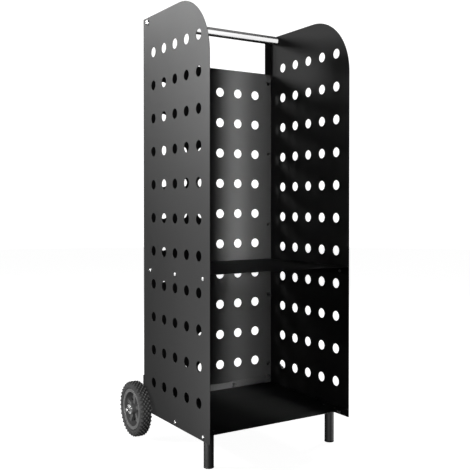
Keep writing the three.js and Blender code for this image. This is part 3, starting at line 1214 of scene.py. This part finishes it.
@dataclass
class Handle:
    """The plated tube between the side panels, and the bolts that hold it."""

    wall: float = 1.5 * MM
    rounding: float = 0.4 * MM
    steps: int = 48
    bolt: Screw = Screw(3.9 * MM, 7.0 * MM, 4.0 * MM, 18.0 * MM, 1.25 * MM, Drive.HEX, 36)

    def tube(self) -> int:
        """Builds the tube in place of its CAD node.

        Returns:
            How many pieces were made.
        """
        low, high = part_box("handle_tube")
        radius = (high.z - low.z) / 2
        half, edge, bore = (high.x - low.x) / 2, self.rounding, radius - self.wall
        profile = [
            (bore + edge, -half), (radius - edge, -half), (radius, -half + edge), (radius, half - edge),
            (radius - edge, half), (bore + edge, half), (bore, half - edge), (bore, -half + edge),
        ]
        bm = bmesh.new()
        turned(bm, profile, self.steps, closed=True)
        settle(bm, aimed(X, (low + high) / 2))
        piece = publish("handle_bar", bm, CHROME, Body.RACK, ["handle_tube"])
        soften(piece, 0.15 * MM, 2)
        return 1

    def bolts(self) -> int:
        """Builds a bolt at each end and plates the inserts that take them.

        Returns:
            How many pieces were made.
        """
        for side in Side:
            node = f"handle_bolt_{side.word}"
            outwards = X * side.value
            face = head_face(node, outwards, self.bolt.length)
            bm = self.bolt.shape(aimed(outwards, face))
            piece = publish(f"{node}.turned", bm, CHROME, Body.RACK, [node])
            soften(piece, 0.2 * MM, 2, 50.0)
            dress_node(f"handle_insert_{side.word}", ZINC)
        return len(Side)

    def build(self) -> int:
        """Builds the tube and its bolts and returns how many pieces were made."""
        return self.tube() + self.bolts()


def dress_node(node: str, finish: object) -> None:
    """Gives a CAD node that stays its finish."""
    slots = frame["nodes"][node].data.materials
    slots.clear()
    slots.append(MATERIALS.get(finish))


@dataclass
class Leg:
    """A tube leg welded under a plate, with a plastic foot cap."""

    side: Side
    radius: float = 12.0 * MM
    wall: float = 1.5 * MM
    plate: float = 3.0 * MM
    plate_corner: float = 5.0 * MM
    weld: float = 1.7 * MM
    steps: int = 40
    weld_steps: int = 60
    weld_offset: float = 0.3 * MM
    weld_ripples: int = 10
    ripple: float = 0.25 * MM
    cap_height: float = 3.0 * MM
    cap_overhang: float = 0.4 * MM
    cap_plug: float = 14.0 * MM
    plug_gap: float = 0.9 * MM
    ribs: int = 4
    rib_pitch: float = 3.0 * MM
    rib_height: float = 0.7 * MM
    screw_offset: float = 21.0 * MM
    screw_hole: float = 2.7 * MM

    def box(self) -> tuple[Vector, Vector]:
        """The CAD leg's corners."""
        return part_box(f"leg_{self.side.word}")

    def axis(self) -> Vector:
        """The point on the floor under the leg."""
        low, high = self.box()
        return Vector(((low.x + high.x) / 2, (low.y + high.y) / 2, 0))

    def tube(self) -> None:
        """Builds the tube, its plate and the weld between them."""
        low, high = self.box()
        axis = self.axis()
        under = high.z - self.plate
        bore = self.radius - self.wall
        profile = [(bore, low.z), (self.radius, low.z), (self.radius, under), (bore, under)]
        bm = bmesh.new()
        turned(bm, profile, self.steps, closed=True)
        settle(bm, Matrix.Translation(axis))
        path = []
        for step in range(self.weld_steps):
            angle = FULL_TURN * step / self.weld_steps
            ripple = self.ripple * math.cos(self.weld_ripples * angle)
            reach = self.radius + self.weld_offset + ripple
            around = Vector((reach * math.cos(angle), reach * math.sin(angle), under - ripple))
            path.append(axis + around)
        merged(bm, swept(path, self.weld, closed=True))
        corners = rectangle((low.x, high.x), (low.y, high.y), self.plate_corner)
        offsets = (-self.screw_offset, self.screw_offset)
        holes = [(axis.x, axis.y + offset, self.screw_hole) for offset in offsets]
        flat = Blank(corners, holes).folded(Matrix.Translation(Z * high.z))
        bmesh.ops.solidify(flat, geom=flat.faces[:], thickness=self.plate)
        merged(bm, flat)
        word = self.side.word
        soften(publish(f"leg_weldment_{word}", bm, COAT, Body.RACK, [f"leg_{word}"]), 0.35 * MM)

    def cap(self) -> None:
        """Builds the foot cap: a rounded foot and a ribbed plug."""
        foot = self.radius + self.cap_overhang
        plug = self.radius - self.wall - self.plug_gap
        top = self.cap_height
        profile = [
            (0, 0.3 * MM), (foot * 0.55, 0.3 * MM), (foot * 0.6, 0), (foot - 1.2 * MM, 0),
            (foot - 0.4 * MM, 0.3 * MM), (foot, 1.0 * MM), (foot, top - 0.5 * MM),
            (foot - 0.4 * MM, top), (plug, top),
        ]
        for rib in range(self.ribs):
            low = top + self.rib_pitch * (rib + 0.5)
            profile += [(plug, low), (plug + self.rib_height, low + 0.6 * MM), (plug, low + 1.6 * MM)]
        profile += [(plug - 0.6 * MM, top + self.cap_plug), (0, top + self.cap_plug)]
        bm = bmesh.new()
        turned(bm, profile, self.steps)
        settle(bm, Matrix.Translation(self.axis()))
        node = f"leg_cap_{self.side.word}"
        soften(publish(f"{node}.moulded", bm, CAP_PLASTIC, Body.RACK, [node]), 0.25 * MM)

    def build(self) -> int:
        """Builds the leg and its cap and returns how many pieces were made."""
        self.tube()
        self.cap()
        return 2


@dataclass
class AxleGear:
    """The axle, the brackets that carry it and what holds the wheels on."""

    radius: float = 5.0 * MM
    chamfer: float = 0.9 * MM
    bracket: float = 2.5 * MM
    bracket_bend: float = 3.5 * MM
    ear_radius: float = 11.5 * MM
    ear_top: float = 124.0 * MM
    ear_shoulder: float = 8.0 * MM
    pad_corners: Point = (3.0 * MM, 4.0 * MM)
    pad_hole: float = 11.2 * MM
    bore: float = 5.4 * MM
    pin_wire: float = 1.05 * MM
    pin_eye: float = 2.9 * MM
    pin_spread: float = 2.2 * MM
    eye_steps: int = 12
    eye_gap: float = 0.35
    screw_hole: float = 2.7 * MM
    steps: int = 40
    ring_steps: int = 48

    def centre(self) -> Vector:
        """The middle of the axle."""
        low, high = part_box("axle")
        return (low + high) / 2

    def axle(self) -> None:
        """Builds the axle with chamfered ends."""
        low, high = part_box("axle")
        half = (high.x - low.x) / 2
        bm = bmesh.new()
        turned(bm, chamfered(0.0, self.radius, half, self.chamfer), self.steps)
        settle(bm, aimed(X, self.centre()))
        soften(publish("axle_rod", bm, ZINC, Body.RACK, ["axle"]), 0.2 * MM)

    def ear(self, side: Side, bolts: Sequence[float]) -> None:
        """Builds a folded bracket: a pad on the panel's flange and an ear round the axle.

        Args:
            side: The bracket's side.
            bolts: The heights of the holes in its pad.
        """
        node = f"axle_bracket_{side.word}"
        low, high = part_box(node)
        middle = self.centre()
        fold = Fold(Along.U, -1, -low.y, self.bracket_bend)
        pad = fold.flat(high.x - low.x)
        past_bend = low.y + self.bracket_bend + 1.0 * MM
        lower, upper = self.pad_corners
        corners = [
            (pad, low.z, lower), (high.y, low.z, self.ear_radius),
            (high.y, middle.z + 4.0 * MM, self.ear_shoulder),
            (past_bend + 2.0 * MM, self.ear_top, 2.0 * MM), (past_bend, self.ear_top, 0),
            (past_bend, high.z, 0), (pad, high.z, upper),
        ]
        holes = [(middle.y, middle.z, self.bore)]
        holes += [(fold.flat(self.pad_hole), z, self.screw_hole) for z in bolts]
        outside = X * side.value
        place = basis(Y, Z, outside, outside * max(abs(low.x), abs(high.x)))
        sheet = Blank(corners, holes, [fold], thickness=self.bracket, edge=0.4 * MM)
        sheet.made(f"{node}.folded", place, COAT, [node])

    def ring(self, node: str, body: Body, bore: float, finish: object, ease: float) -> None:
        """Builds a washer, spacer or bush in place of its CAD node.

        Args:
            node: The CAD node.
            body: The body that it rides on.
            bore: The radius of its hole.
            finish: Its finish.
            ease: The chamfer of its edges.
        """
        low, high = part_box(node)
        half, outer = (high.x - low.x) / 2, (high.z - low.z) / 2
        bm = bmesh.new()
        turned(bm, chamfered(bore, outer, half, ease), self.ring_steps, closed=True)
        settle(bm, aimed(X, (low + high) / 2))
        soften(publish(f"{node}.turned", bm, finish, body, [node]), 0.15 * MM, 1)

    def split_pin(self, side: Side) -> None:
        """Builds a split pin: an eye above the axle and two legs through it, opened below.

        Args:
            side: The pin's side.
        """
        node = f"split_pin_{side.word}"
        low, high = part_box(node)
        x, y = (low.x + high.x) / 2, (low.y + high.y) / 2
        wire, eye = self.pin_wire, self.pin_eye
        top, foot = high.z - wire, low.z + wire
        neck = top - 2 * eye
        path = []
        for leg in (-1, 1):
            points = [
                Vector((x + leg * 0.75 * wire, y + leg * self.pin_spread, foot)),
                Vector((x + leg * 0.6 * wire, y + leg * 0.9 * MM, foot + 2.4 * MM)),
                Vector((x + leg * 0.5 * wire, y, foot + 4.2 * MM)),
                Vector((x + leg * 0.5 * wire, y, neck)),
            ]
            path += points if leg < 0 else points[::-1]
            if leg < 0:
                for step in range(1, self.eye_steps):
                    turn = (FULL_TURN - 2 * self.eye_gap) * step / self.eye_steps
                    angle = -RIGHT_ANGLE - self.eye_gap - turn
                    around = Vector((math.cos(angle) * eye, 0, math.sin(angle) * eye + eye))
                    path.append(Vector((x, y, neck)) + around)
        bm = swept(path, wire * 0.85)
        publish(f"{node}.bent", bm, ZINC, Body.RACK, [node])

    def build(self, pad_holes: Sequence[float]) -> int:
        """Builds the whole of the axle gear.

        Args:
            pad_holes: The heights of the holes in the brackets' pads.

        Returns:
            How many pieces were made.
        """
        self.axle()
        for side in Side:
            self.ear(side, pad_holes)
            self.ring(f"wheel_spacer_{side.word}", Body.RACK, self.bore, ZINC, 0.4 * MM)
            self.ring(f"wheel_washer_{side.word}", Body.RACK, self.bore, ZINC, 0.25 * MM)
            self.split_pin(side)
        return 1 + 4 * len(Side)


BEAD_STEPS = ((0.9, 1.3), (2.2, 1.5), (2.8, 0.7), (4.2, 0.9))  # mm past the seat and past the bead
WALL_STEPS = ((5.4, 1.1), (6.0, 0.4), (6.8, 0.9))  # mm past the seat and inside the tyre's width
RIM_STEPS = ((0.0, 0.0), (1.2, 0.5), (2.6, -0.3), (4.0, -0.6), (5.0, 0.1))  # mm inwards, and proud


@dataclass
class Wheel:
    """A spoked plastic wheel with a knobbed rubber tyre."""

    side: Side
    gear: AxleGear
    seat: float = 54.3 * MM
    tread: float = 69.5 * MM
    row: float = 5.1 * MM
    knob: float = 2.5 * MM
    lug: float = 2.1 * MM
    lug_foot: float = 63.8 * MM
    gap: float = 0.95 * MM
    draft: float = 0.3 * MM
    pitches: int = 36
    rim_inner: float = 44.0 * MM
    rim_width: float = 26.0 * MM
    spokes: int = 5
    boss: float = 14.0 * MM
    bush: float = 7.9 * MM
    spoke_width: float = 11.0 * MM
    spoke_thickness: float = 9.0 * MM
    spoke_taper: float = 0.86
    spoke_border: float = 2.2 * MM
    spoke_pocket: float = 1.2 * MM
    boss_ease: float = 0.8 * MM
    web: float = 1.6 * MM
    web_setback: float = 2.0 * MM
    rim_steps: int = 96
    boss_steps: int = 48

    @property
    def body(self) -> Body:
        """The CAD body of this wheel."""
        return Body.WHEEL_LEFT if self.side is Side.LEFT else Body.WHEEL_RIGHT

    def place(self) -> Matrix:
        """Local +Z points away from the rack, along the axle."""
        low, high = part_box(f"tyre_{self.side.word}")
        return aimed(X * self.side.value, (low + high) / 2)

    def carcass(self) -> list[Point]:
        """The tyre's section, from the outer bead round the tread to the inner one."""
        low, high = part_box(f"tyre_{self.side.word}")
        half = (high.x - low.x) / 2
        bead = self.rim_width / 2
        side = [(self.seat, bead)]
        side += [(self.seat + up * MM, bead + out * MM) for up, out in BEAD_STEPS]
        side += [(self.seat + up * MM, half - under * MM) for up, under in WALL_STEPS]
        side.append((self.lug_foot, half - 1.1 * MM))
        crown = [(self.tread - 0.9 * MM, 2.5 * self.row), (self.tread - 0.2 * MM, 1.5 * self.row)]
        whole = side + crown + [(self.tread, 0.5 * self.row)]
        return whole + [(radius, -height) for radius, height in reversed(whole)]

    def raised(self, bm: bmesh.types.BMesh) -> tuple[list, list]:
        """Picks the faces of the tread that are raised, staggered from row to row.

        Args:
            bm: The carcass.

        Returns:
            The faces of the tread's knobs and those of the shoulders' lugs.
        """
        step = FULL_TURN / (2 * self.pitches)
        rows = {}
        for face in bm.faces:
            middle = face.calc_center_median()
            if middle.xy.length > self.lug_foot:
                rows.setdefault(round(middle.z / (0.5 * MM)), []).append(face)
        knobs, lugs = [], []
        order = sorted(rows)
        for row, height in enumerate(order):
            kept = lugs if row in (0, len(order) - 1) else knobs
            for face in rows[height]:
                middle = face.calc_center_median()
                sector = math.floor((math.atan2(middle.y, middle.x) % FULL_TURN) / step)
                if (sector + row) % 2 == 0:
                    kept.append(face)
        return knobs, lugs

    def tyre(self) -> None:
        """Builds the carcass and raises its knobs and lugs."""
        bm = bmesh.new()
        turned(bm, self.carcass(), 2 * self.pitches, closed=True)
        settle(bm)
        knobs, lugs = self.raised(bm)
        for faces, height in ((knobs, self.knob), (lugs, self.lug)):
            inset(bm, faces, self.gap, 0.0)
            inset(bm, faces, self.draft, height)
        bmesh.ops.transform(bm, matrix=self.place(), verts=bm.verts[:])
        node = f"tyre_{self.side.word}"
        soften(publish(f"{node}.moulded", bm, RUBBER, self.body, [node]), 0.35 * MM, 1, 40.0)

    def rim(self) -> list[Point]:
        """The rim's section: a channel with a lip and a ridge on each face."""
        half = self.rim_width / 2
        outer = self.seat - 1.0 * MM
        face = [(outer - inwards * MM, half + proud * MM) for inwards, proud in RIM_STEPS]
        face += [(self.rim_inner + 1.2 * MM, half - 0.2 * MM), (self.rim_inner, half - 1.6 * MM)]
        return face + [(radius, -height) for radius, height in reversed(face)]

    def spoke(self, angle: float) -> bmesh.types.BMesh:
        """Builds one spoke, wider at the rim than at the boss.

        Args:
            angle: Its angle round the axle.

        Returns:
            The spoke.
        """
        start, end = self.boss - 2.0 * MM, self.rim_inner + 2.0 * MM
        bm = bmesh.new()
        bmesh.ops.create_cube(bm, size=1.0)
        size = (end - start, self.spoke_width, self.spoke_thickness)
        bmesh.ops.scale(bm, vec=size, verts=bm.verts[:])
        bmesh.ops.translate(bm, vec=((start + end) / 2, 0, 0), verts=bm.verts[:])
        near = [vert for vert in bm.verts if vert.co.x < (start + end) / 2]
        bmesh.ops.scale(bm, vec=(1, self.spoke_taper, 1), verts=near)
        faces = [face for face in bm.faces if abs(face.normal.z) > 0.9]
        inset(bm, faces, self.spoke_border, 0.0)
        inset(bm, faces, 0.5 * MM, -self.spoke_pocket)
        bmesh.ops.rotate(bm, verts=bm.verts[:], cent=(0, 0, 0), matrix=Matrix.Rotation(angle, 3, "Z"))
        return bm

    def hub(self) -> None:
        """Builds the rim, the boss and the spokes between them."""
        low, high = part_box(f"wheel_hub_{self.side.word}")
        half = (high.x - low.x) / 2
        boss = chamfered(self.bush, self.boss, half, self.boss_ease)
        inner = self.web_setback - self.rim_width / 2
        web = [
            (self.boss - 1.0 * MM, inner), (self.rim_inner + 1.0 * MM, inner),
            (self.rim_inner + 1.0 * MM, inner + self.web), (self.boss - 1.0 * MM, inner + self.web),
        ]
        bm = bmesh.new()
        turned(bm, self.rim(), self.rim_steps, closed=True)
        turned(bm, boss, self.boss_steps, closed=True)
        turned(bm, web, self.rim_steps, closed=True)
        settle(bm)
        first = self.first_spoke()
        for number in range(self.spokes):
            merged(bm, self.spoke(first + FULL_TURN * number / self.spokes))
        bmesh.ops.transform(bm, matrix=self.place(), verts=bm.verts[:])
        node = f"wheel_hub_{self.side.word}"
        soften(publish(f"{node}.moulded", bm, HUB_PLASTIC, self.body, [node]), 0.5 * MM)

    def first_spoke(self) -> float:
        """The local angle of the spoke that points straight up."""
        up = self.place().to_3x3().inverted() @ Z
        return math.atan2(up.y, up.x)

    def build(self) -> int:
        """Builds the tyre, the hub and the bush and returns how many pieces were made."""
        self.tyre()
        self.hub()
        self.gear.ring(f"wheel_bush_{self.side.word}", self.body, self.gear.bore, BRONZE, 0.4 * MM)
        return 3


# ---- studio ----


@dataclass
class Lamp:
    """A soft lamp that points at a place."""

    name: str
    place: tuple[float, float, float]
    target: tuple[float, float, float]
    size: tuple[float, float]
    power: float
    spread: float = 180.0
    only: tuple[str, ...] = ()

    def link(self, holder: bpy.types.Object) -> None:
        """Keeps the lamp's light to the pieces that it names.

        Args:
            holder: The lamp's object.
        """
        chosen = bpy.data.collections.new(f"{self.name}_lights")
        for piece in bpy.data.objects:
            if piece.name not in frame["nodes"] and piece.name.startswith(self.only):
                chosen.objects.link(piece)
        holder.light_linking.receiver_collection = chosen
        holder.light_linking.blocker_collection = chosen

    def build(self) -> None:
        """Hangs the lamp."""
        light = bpy.data.lights.new(self.name, "AREA")
        light.shape = "RECTANGLE"
        light.size, light.size_y = self.size
        light.energy = self.power
        light.spread = math.radians(self.spread)
        holder = bpy.data.objects.new(self.name, light)
        bpy.context.scene.collection.objects.link(holder)
        holder.location = self.place
        aim = Vector(self.target) - Vector(self.place)
        holder.rotation_euler = aim.to_track_quat("-Z", "Y").to_euler()
        holder.visible_camera = False
        if self.only:
            self.link(holder)


@dataclass
class Studio:
    """The floor, the backdrop, the lamps and the camera."""

    lamps: Sequence[Lamp]
    fill: float = 0.02
    floor_reach: float = 9.0
    floor_grey: float = 0.8
    floor_glow: float = 0.97
    backdrop_glow: float = 1.2
    eye: tuple[float, float, float] = (-1.0392, -1.6456, 0.6094)
    yaw: float = 32.207
    tilt: float = -0.771
    lens: float = 56.525
    sensor: float = 36.0
    rise: float = -0.0417

    def plain(self, name: str, level: float, glow: float) -> bpy.types.Material:
        """A plain pale material.

        Args:
            name: The material's name.
            level: Its grey.
            glow: How brightly it shines by itself.

        Returns:
            The material.
        """
        graph = NodeGraph(name)
        return graph.shade({
            "Base Color": grey(level), "Roughness": 0.9, "Specular IOR Level": 0.0,
            "Emission Color": grey(1.0), "Emission Strength": glow,
        })

    def unseen_by_rays(self, thing: bpy.types.Object) -> None:
        """Keeps a backdrop or floor from lighting the rack or showing in its gloss."""
        thing.visible_diffuse = False
        thing.visible_glossy = False
        thing.visible_transmission = False
        thing.visible_shadow = False

    def backdrop(self) -> None:
        """Builds the pale floor and the pale wall all round."""
        looks = (("floor", self.floor_grey, self.floor_glow), ("backdrop", 0.0, self.backdrop_glow))
        for name, level, glow in looks:
            bm = bmesh.new()
            if name == "floor":
                bmesh.ops.create_circle(bm, cap_ends=True, radius=self.floor_reach, segments=64)
            else:
                bmesh.ops.create_icosphere(bm, subdivisions=4, radius=self.floor_reach * 1.1)
                bmesh.ops.reverse_faces(bm, faces=bm.faces[:])
            mesh = bpy.data.meshes.new(name)
            bm.to_mesh(mesh)
            bm.free()
            mesh.materials.append(self.plain(f"studio_{name}", level, glow))
            thing = bpy.data.objects.new(name, mesh)
            bpy.context.scene.collection.objects.link(thing)
            self.unseen_by_rays(thing)

    def world(self) -> None:
        """Sets the low even light of the room."""
        world = bpy.data.worlds.new("room")
        world.use_nodes = True
        back = world.node_tree.nodes["Background"]
        back.inputs["Color"].default_value = grey(1.0)
        back.inputs["Strength"].default_value = self.fill
        bpy.context.scene.world = world

    def camera(self) -> None:
        """Sets up the camera."""
        data = bpy.data.cameras.new("camera")
        data.sensor_width = self.sensor
        data.lens = self.lens
        data.shift_y = self.rise
        holder = bpy.data.objects.new("camera", data)
        bpy.context.scene.collection.objects.link(holder)
        holder.location = self.eye
        holder.rotation_euler = (math.radians(90 + self.tilt), 0, math.radians(-self.yaw))
        bpy.context.scene.camera = holder

    def build(self) -> None:
        """Builds the whole studio."""
        self.camera()
        self.backdrop()
        self.world()
        for lamp in self.lamps:
            lamp.build()
        view = bpy.context.scene.view_settings
        view.view_transform = "Standard"
        view.look = "None"


# ---- the whole rack ----


@dataclass
class ScrewPlan:
    """Where the fastenings are, read from the CAD screws."""

    shelf_places: tuple[str, ...] = ("front", "middle", "rear")
    back_rows: int = 5
    sheet: float = 1.2 * MM
    gap: float = 0.3 * MM
    bracket: float = 2.5 * MM
    cut: Screw = Screw()

    def face(self, node: str, direction: Vector) -> Vector:
        """The place under a CAD screw's head."""
        return head_face(node, direction, self.length_of(node, direction))

    def length_of(self, node: str, direction: Vector) -> float:
        """The length of a CAD screw's shank."""
        low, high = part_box(node)
        return abs((high - low).dot(direction)) - self.cut.height

    def shelf(self, shelf: str) -> list[Point]:
        """The side screws of a shelf as points of the side panels."""
        places = [self.face(f"{shelf}_screw_left_{place}", -X) for place in self.shelf_places]
        return [(place.y, place.z) for place in places]

    def back(self, side: Side) -> list[Vector]:
        """The back panel's screws on one side."""
        numbers = range(1, self.back_rows + 1)
        return [self.face(f"back_screw_{side.word}_{number}", -Y) for number in numbers]

    def fasteners(self) -> list[Fastener]:
        """Every screw but the handle's bolts."""
        two, made = 2 * self.sheet + self.gap, []
        for side in Side:
            out = X * side.value
            names = [f"{shelf}_screw_{side.word}_{place}" for shelf in ("middle_shelf", "bottom_shelf")
                     for place in self.shelf_places]
            made += [self.fastener(name, out, ZINC, two + self.gap) for name in names]
            names = [f"back_screw_{side.word}_{number}" for number in range(1, self.back_rows + 1)]
            made += [self.fastener(name, -Y, BLACK, two + self.gap) for name in names]
            name = f"bottom_shelf_rear_screw_{side.word}"
            made.append(self.fastener(name, -Y, ZINC, two + self.gap))
            through = two + self.bracket + 2 * self.gap
            made.append(self.fastener(f"bracket_bolt_{side.word}", Y, ZINC, through))
            made += [
                self.fastener(f"leg_screw_{side.word}_{number}", -Z, ZINC, 0.0, has_nut=False)
                for number in (1, 2)
            ]
        return made

    def fastener(
        self, node: str, direction: Vector, finish: object, grip: float, has_nut: bool = True,
    ) -> Fastener:
        """One fastener in place of a CAD screw.

        Args:
            node: The CAD screw.
            direction: Where its head points.
            finish: Its finish.
            grip: The thickness that it holds together.
            has_nut: Whether a nut is seen on its end.

        Returns:
            The fastener.
        """
        screw = Screw(length=self.length_of(node, direction))
        face = self.face(node, direction)
        return Fastener(node, direction, face, screw, finish, grip, has_nut=has_nut)


LEFT_OUTSIDE = (
    "side_sheet_left", "middle_shelf_screw_left", "bottom_shelf_screw_left", "leg_weldment_left",
    "leg_cap_left", "handle_bolt_left",
)
WHEEL_PIECES = ("tyre_", "wheel_", "split_pin_", "axle_rod")
BACK_INSIDE = ("back_sheet", "bottom_shelf_sheet")
BACK_OUTSIDE = ("back_sheet", "side_sheet_", "axle_", "leg_", "bracket_bolt_", "back_screw_")
HANDLE_PIECES = ("handle_bar",)
BOTTOM_SHEET = ("bottom_shelf_sheet",)
RIGHT_LEG = ("leg_weldment_right",)

LAMPS = (
    Lamp("key", (-2.445, 1.469, 1.527), (0.0, 0.0, 0.6), (0.60, 0.42), 31.0),
    Lamp("left_high", (-0.55, -0.25, 0.95), (-0.2, -0.1, 0.86), (0.3, 0.3), 4.4, only=LEFT_OUTSIDE),
    Lamp("left_middle", (-0.55, -0.25, 0.55), (-0.2, -0.1, 0.54), (0.3, 0.3), 0.9, only=LEFT_OUTSIDE),
    Lamp("left_low", (-0.55, -0.25, 0.15), (-0.2, -0.1, 0.22), (0.3, 0.3), 2.6, only=LEFT_OUTSIDE),
    Lamp("left_rear_top", (-0.55, 0.8, 1.4), (-0.2, -0.1, 1.22), (0.3, 0.3), 1.3, only=LEFT_OUTSIDE),
    Lamp("left_rear_high", (-0.55, 0.35, 1.4), (-0.2, -0.1, 1.22), (0.3, 0.3), 2.5, only=LEFT_OUTSIDE),
    Lamp(
        "left_rear_middle", (-0.95, 0.35, 0.95), (-0.2, -0.1, 0.86), (0.3, 0.3), 2.4,
        only=LEFT_OUTSIDE,
    ),
    Lamp("left_rear_low", (-0.95, 0.35, 0.15), (-0.2, -0.1, 0.22), (0.3, 0.3), 1.2, only=LEFT_OUTSIDE),
    Lamp("rear", (-1.37, 2.37, 1.82), (0.0, 0.1, 0.7), (0.7, 0.7), 4.0),
    Lamp("rear_right", (1.5, 2.0, 1.2), (0.0, 0.13, 0.6), (0.8, 0.8), 34.0, only=BACK_OUTSIDE),
    Lamp("side_right", (2.6, 0.7, 1.5), (0.2, 0.0, 0.4), (0.5, 0.5), 16.0),
    Lamp("band_high", (0.15, -2.4, 0.8), (0.078, 0.13, 0.8), (0.04, 0.75), 0.36, 3.2, BACK_INSIDE),
    Lamp("band_low", (0.15, -2.4, 0.22), (0.078, 0.13, 0.22), (0.04, 0.40), 0.07, 3.2, BACK_INSIDE),
    Lamp(
        "wide_band_high", (0.15, -2.4, 0.8), (0.145, 0.13, 0.8), (0.04, 0.75), 0.42, 6.0, BACK_INSIDE,
    ),
    Lamp(
        "wide_band_low", (0.15, -2.4, 0.22), (0.145, 0.13, 0.22), (0.04, 0.40), 0.11, 6.0, BACK_INSIDE,
    ),
    Lamp("handle_card", (0.50, -0.73, 0.87), (0.0, 0.105, 1.08), (0.95, 2.0), 6.6, only=HANDLE_PIECES),
    Lamp("handle_floor", (0.0, 0.1, 0.0), (0.0, 0.1, 1.0), (1.2, 1.2), 0.15, only=HANDLE_PIECES),
    Lamp("handle_sky", (0.0, 0.1, 2.7), (0.0, 0.1, 0.0), (2.5, 2.5), 4.0, only=HANDLE_PIECES),
    Lamp("wheel_fill", (-1.5, -0.6, 0.5), (-0.22, 0.14, 0.07), (0.5, 0.5), 27.0, only=WHEEL_PIECES),
    Lamp("wheel_floor", (-0.75, 0.95, -0.02), (-0.75, 0.95, 1.0), (1.3, 1.5), 5.0, only=WHEEL_PIECES),
    Lamp("front_card", (1.55, -2.3, 0.4), (0.1, 0.0, 0.7), (2.2, 3.2), 4.0),
    Lamp("top_card", (0.0, 0.0, 2.8), (0.0, 0.0, 0.0), (0.8, 0.8), 30.0, only=("side_sheet_",)),
    Lamp("top_fill", (0.0, 0.0, 2.8), (0.0, 0.0, 0.0), (0.8, 0.8), 0.3),
    Lamp("shelf_band", (0.15, -2.4, 0.6), (0.03, 0.05, 0.02), (0.04, 0.4), 0.24, 5.0, BOTTOM_SHEET),
    Lamp("right_leg", (1.5, -0.75, 0.3), (0.18, -0.17, 0.03), (0.4, 0.4), 38.0, only=RIGHT_LEG),
    Lamp("leg_fill", (-0.9, -1.2, 0.35), (0.18, -0.17, 0.03), (0.6, 0.6), 16.0, only=RIGHT_LEG),
)


def main() -> None:
    """Builds every sub-assembly in order and reports each one."""
    logging.basicConfig(level=logging.INFO, format="%(message)s")
    plan = ScrewPlan()
    middle, bottom = plan.shelf("middle_shelf"), plan.shelf("bottom_shelf")
    bracket_bolt = plan.face("bracket_bolt_left", Y).z
    flange = [place.z for place in plan.back(Side.RIGHT)] + [bracket_bolt]
    low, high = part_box("handle_tube")
    handle_axis = ((low.y + high.y) / 2, (low.z + high.z) / 2)
    rear = [plan.face(f"bottom_shelf_rear_screw_{side.word}", -Y) for side in Side]
    legs = [plan.face(f"leg_screw_{side.word}_{n}", -Z) for side in Side for n in (1, 2)]
    back = [(place.x, place.z) for side in Side for place in plan.back(side)]
    back += [(place.x, place.z) for place in rear]
    back += [(side.value * abs(plan.back(side)[0].x), bracket_bolt) for side in Side]
    gear = AxleGear()
    steps = [
        *(
            (f"side panel, {side.word}", SidePanel(
                side, shelf_screws=middle + bottom, handle_bolt=handle_axis, flange_screws=flange,
            ).build) for side in Side
        ),
        ("back panel", BackPanel(screws=back).build),
        ("middle shelf", Shelf("middle_shelf", False, side_screws=middle).build),
        ("bottom shelf", Shelf(
            "bottom_shelf", True, side_screws=bottom, rear_screws=[(p.x, p.z) for p in rear],
            floor_screws=[(p.x, p.y) for p in legs],
        ).build),
        ("handle", Handle().build),
        *((f"leg, {side.word}", Leg(side).build) for side in Side),
        ("axle gear", lambda: gear.build([flange[0], bracket_bolt])),
        *((f"wheel, {side.word}", Wheel(side, gear).build) for side in Side),
        *((fastener.node, fastener.build) for fastener in plan.fasteners()),
    ]
    for name, step in steps:
        LOG.info("%s: %d pieces", name, step())
    Studio(LAMPS).build()


if __name__ == "__main__":
    main()
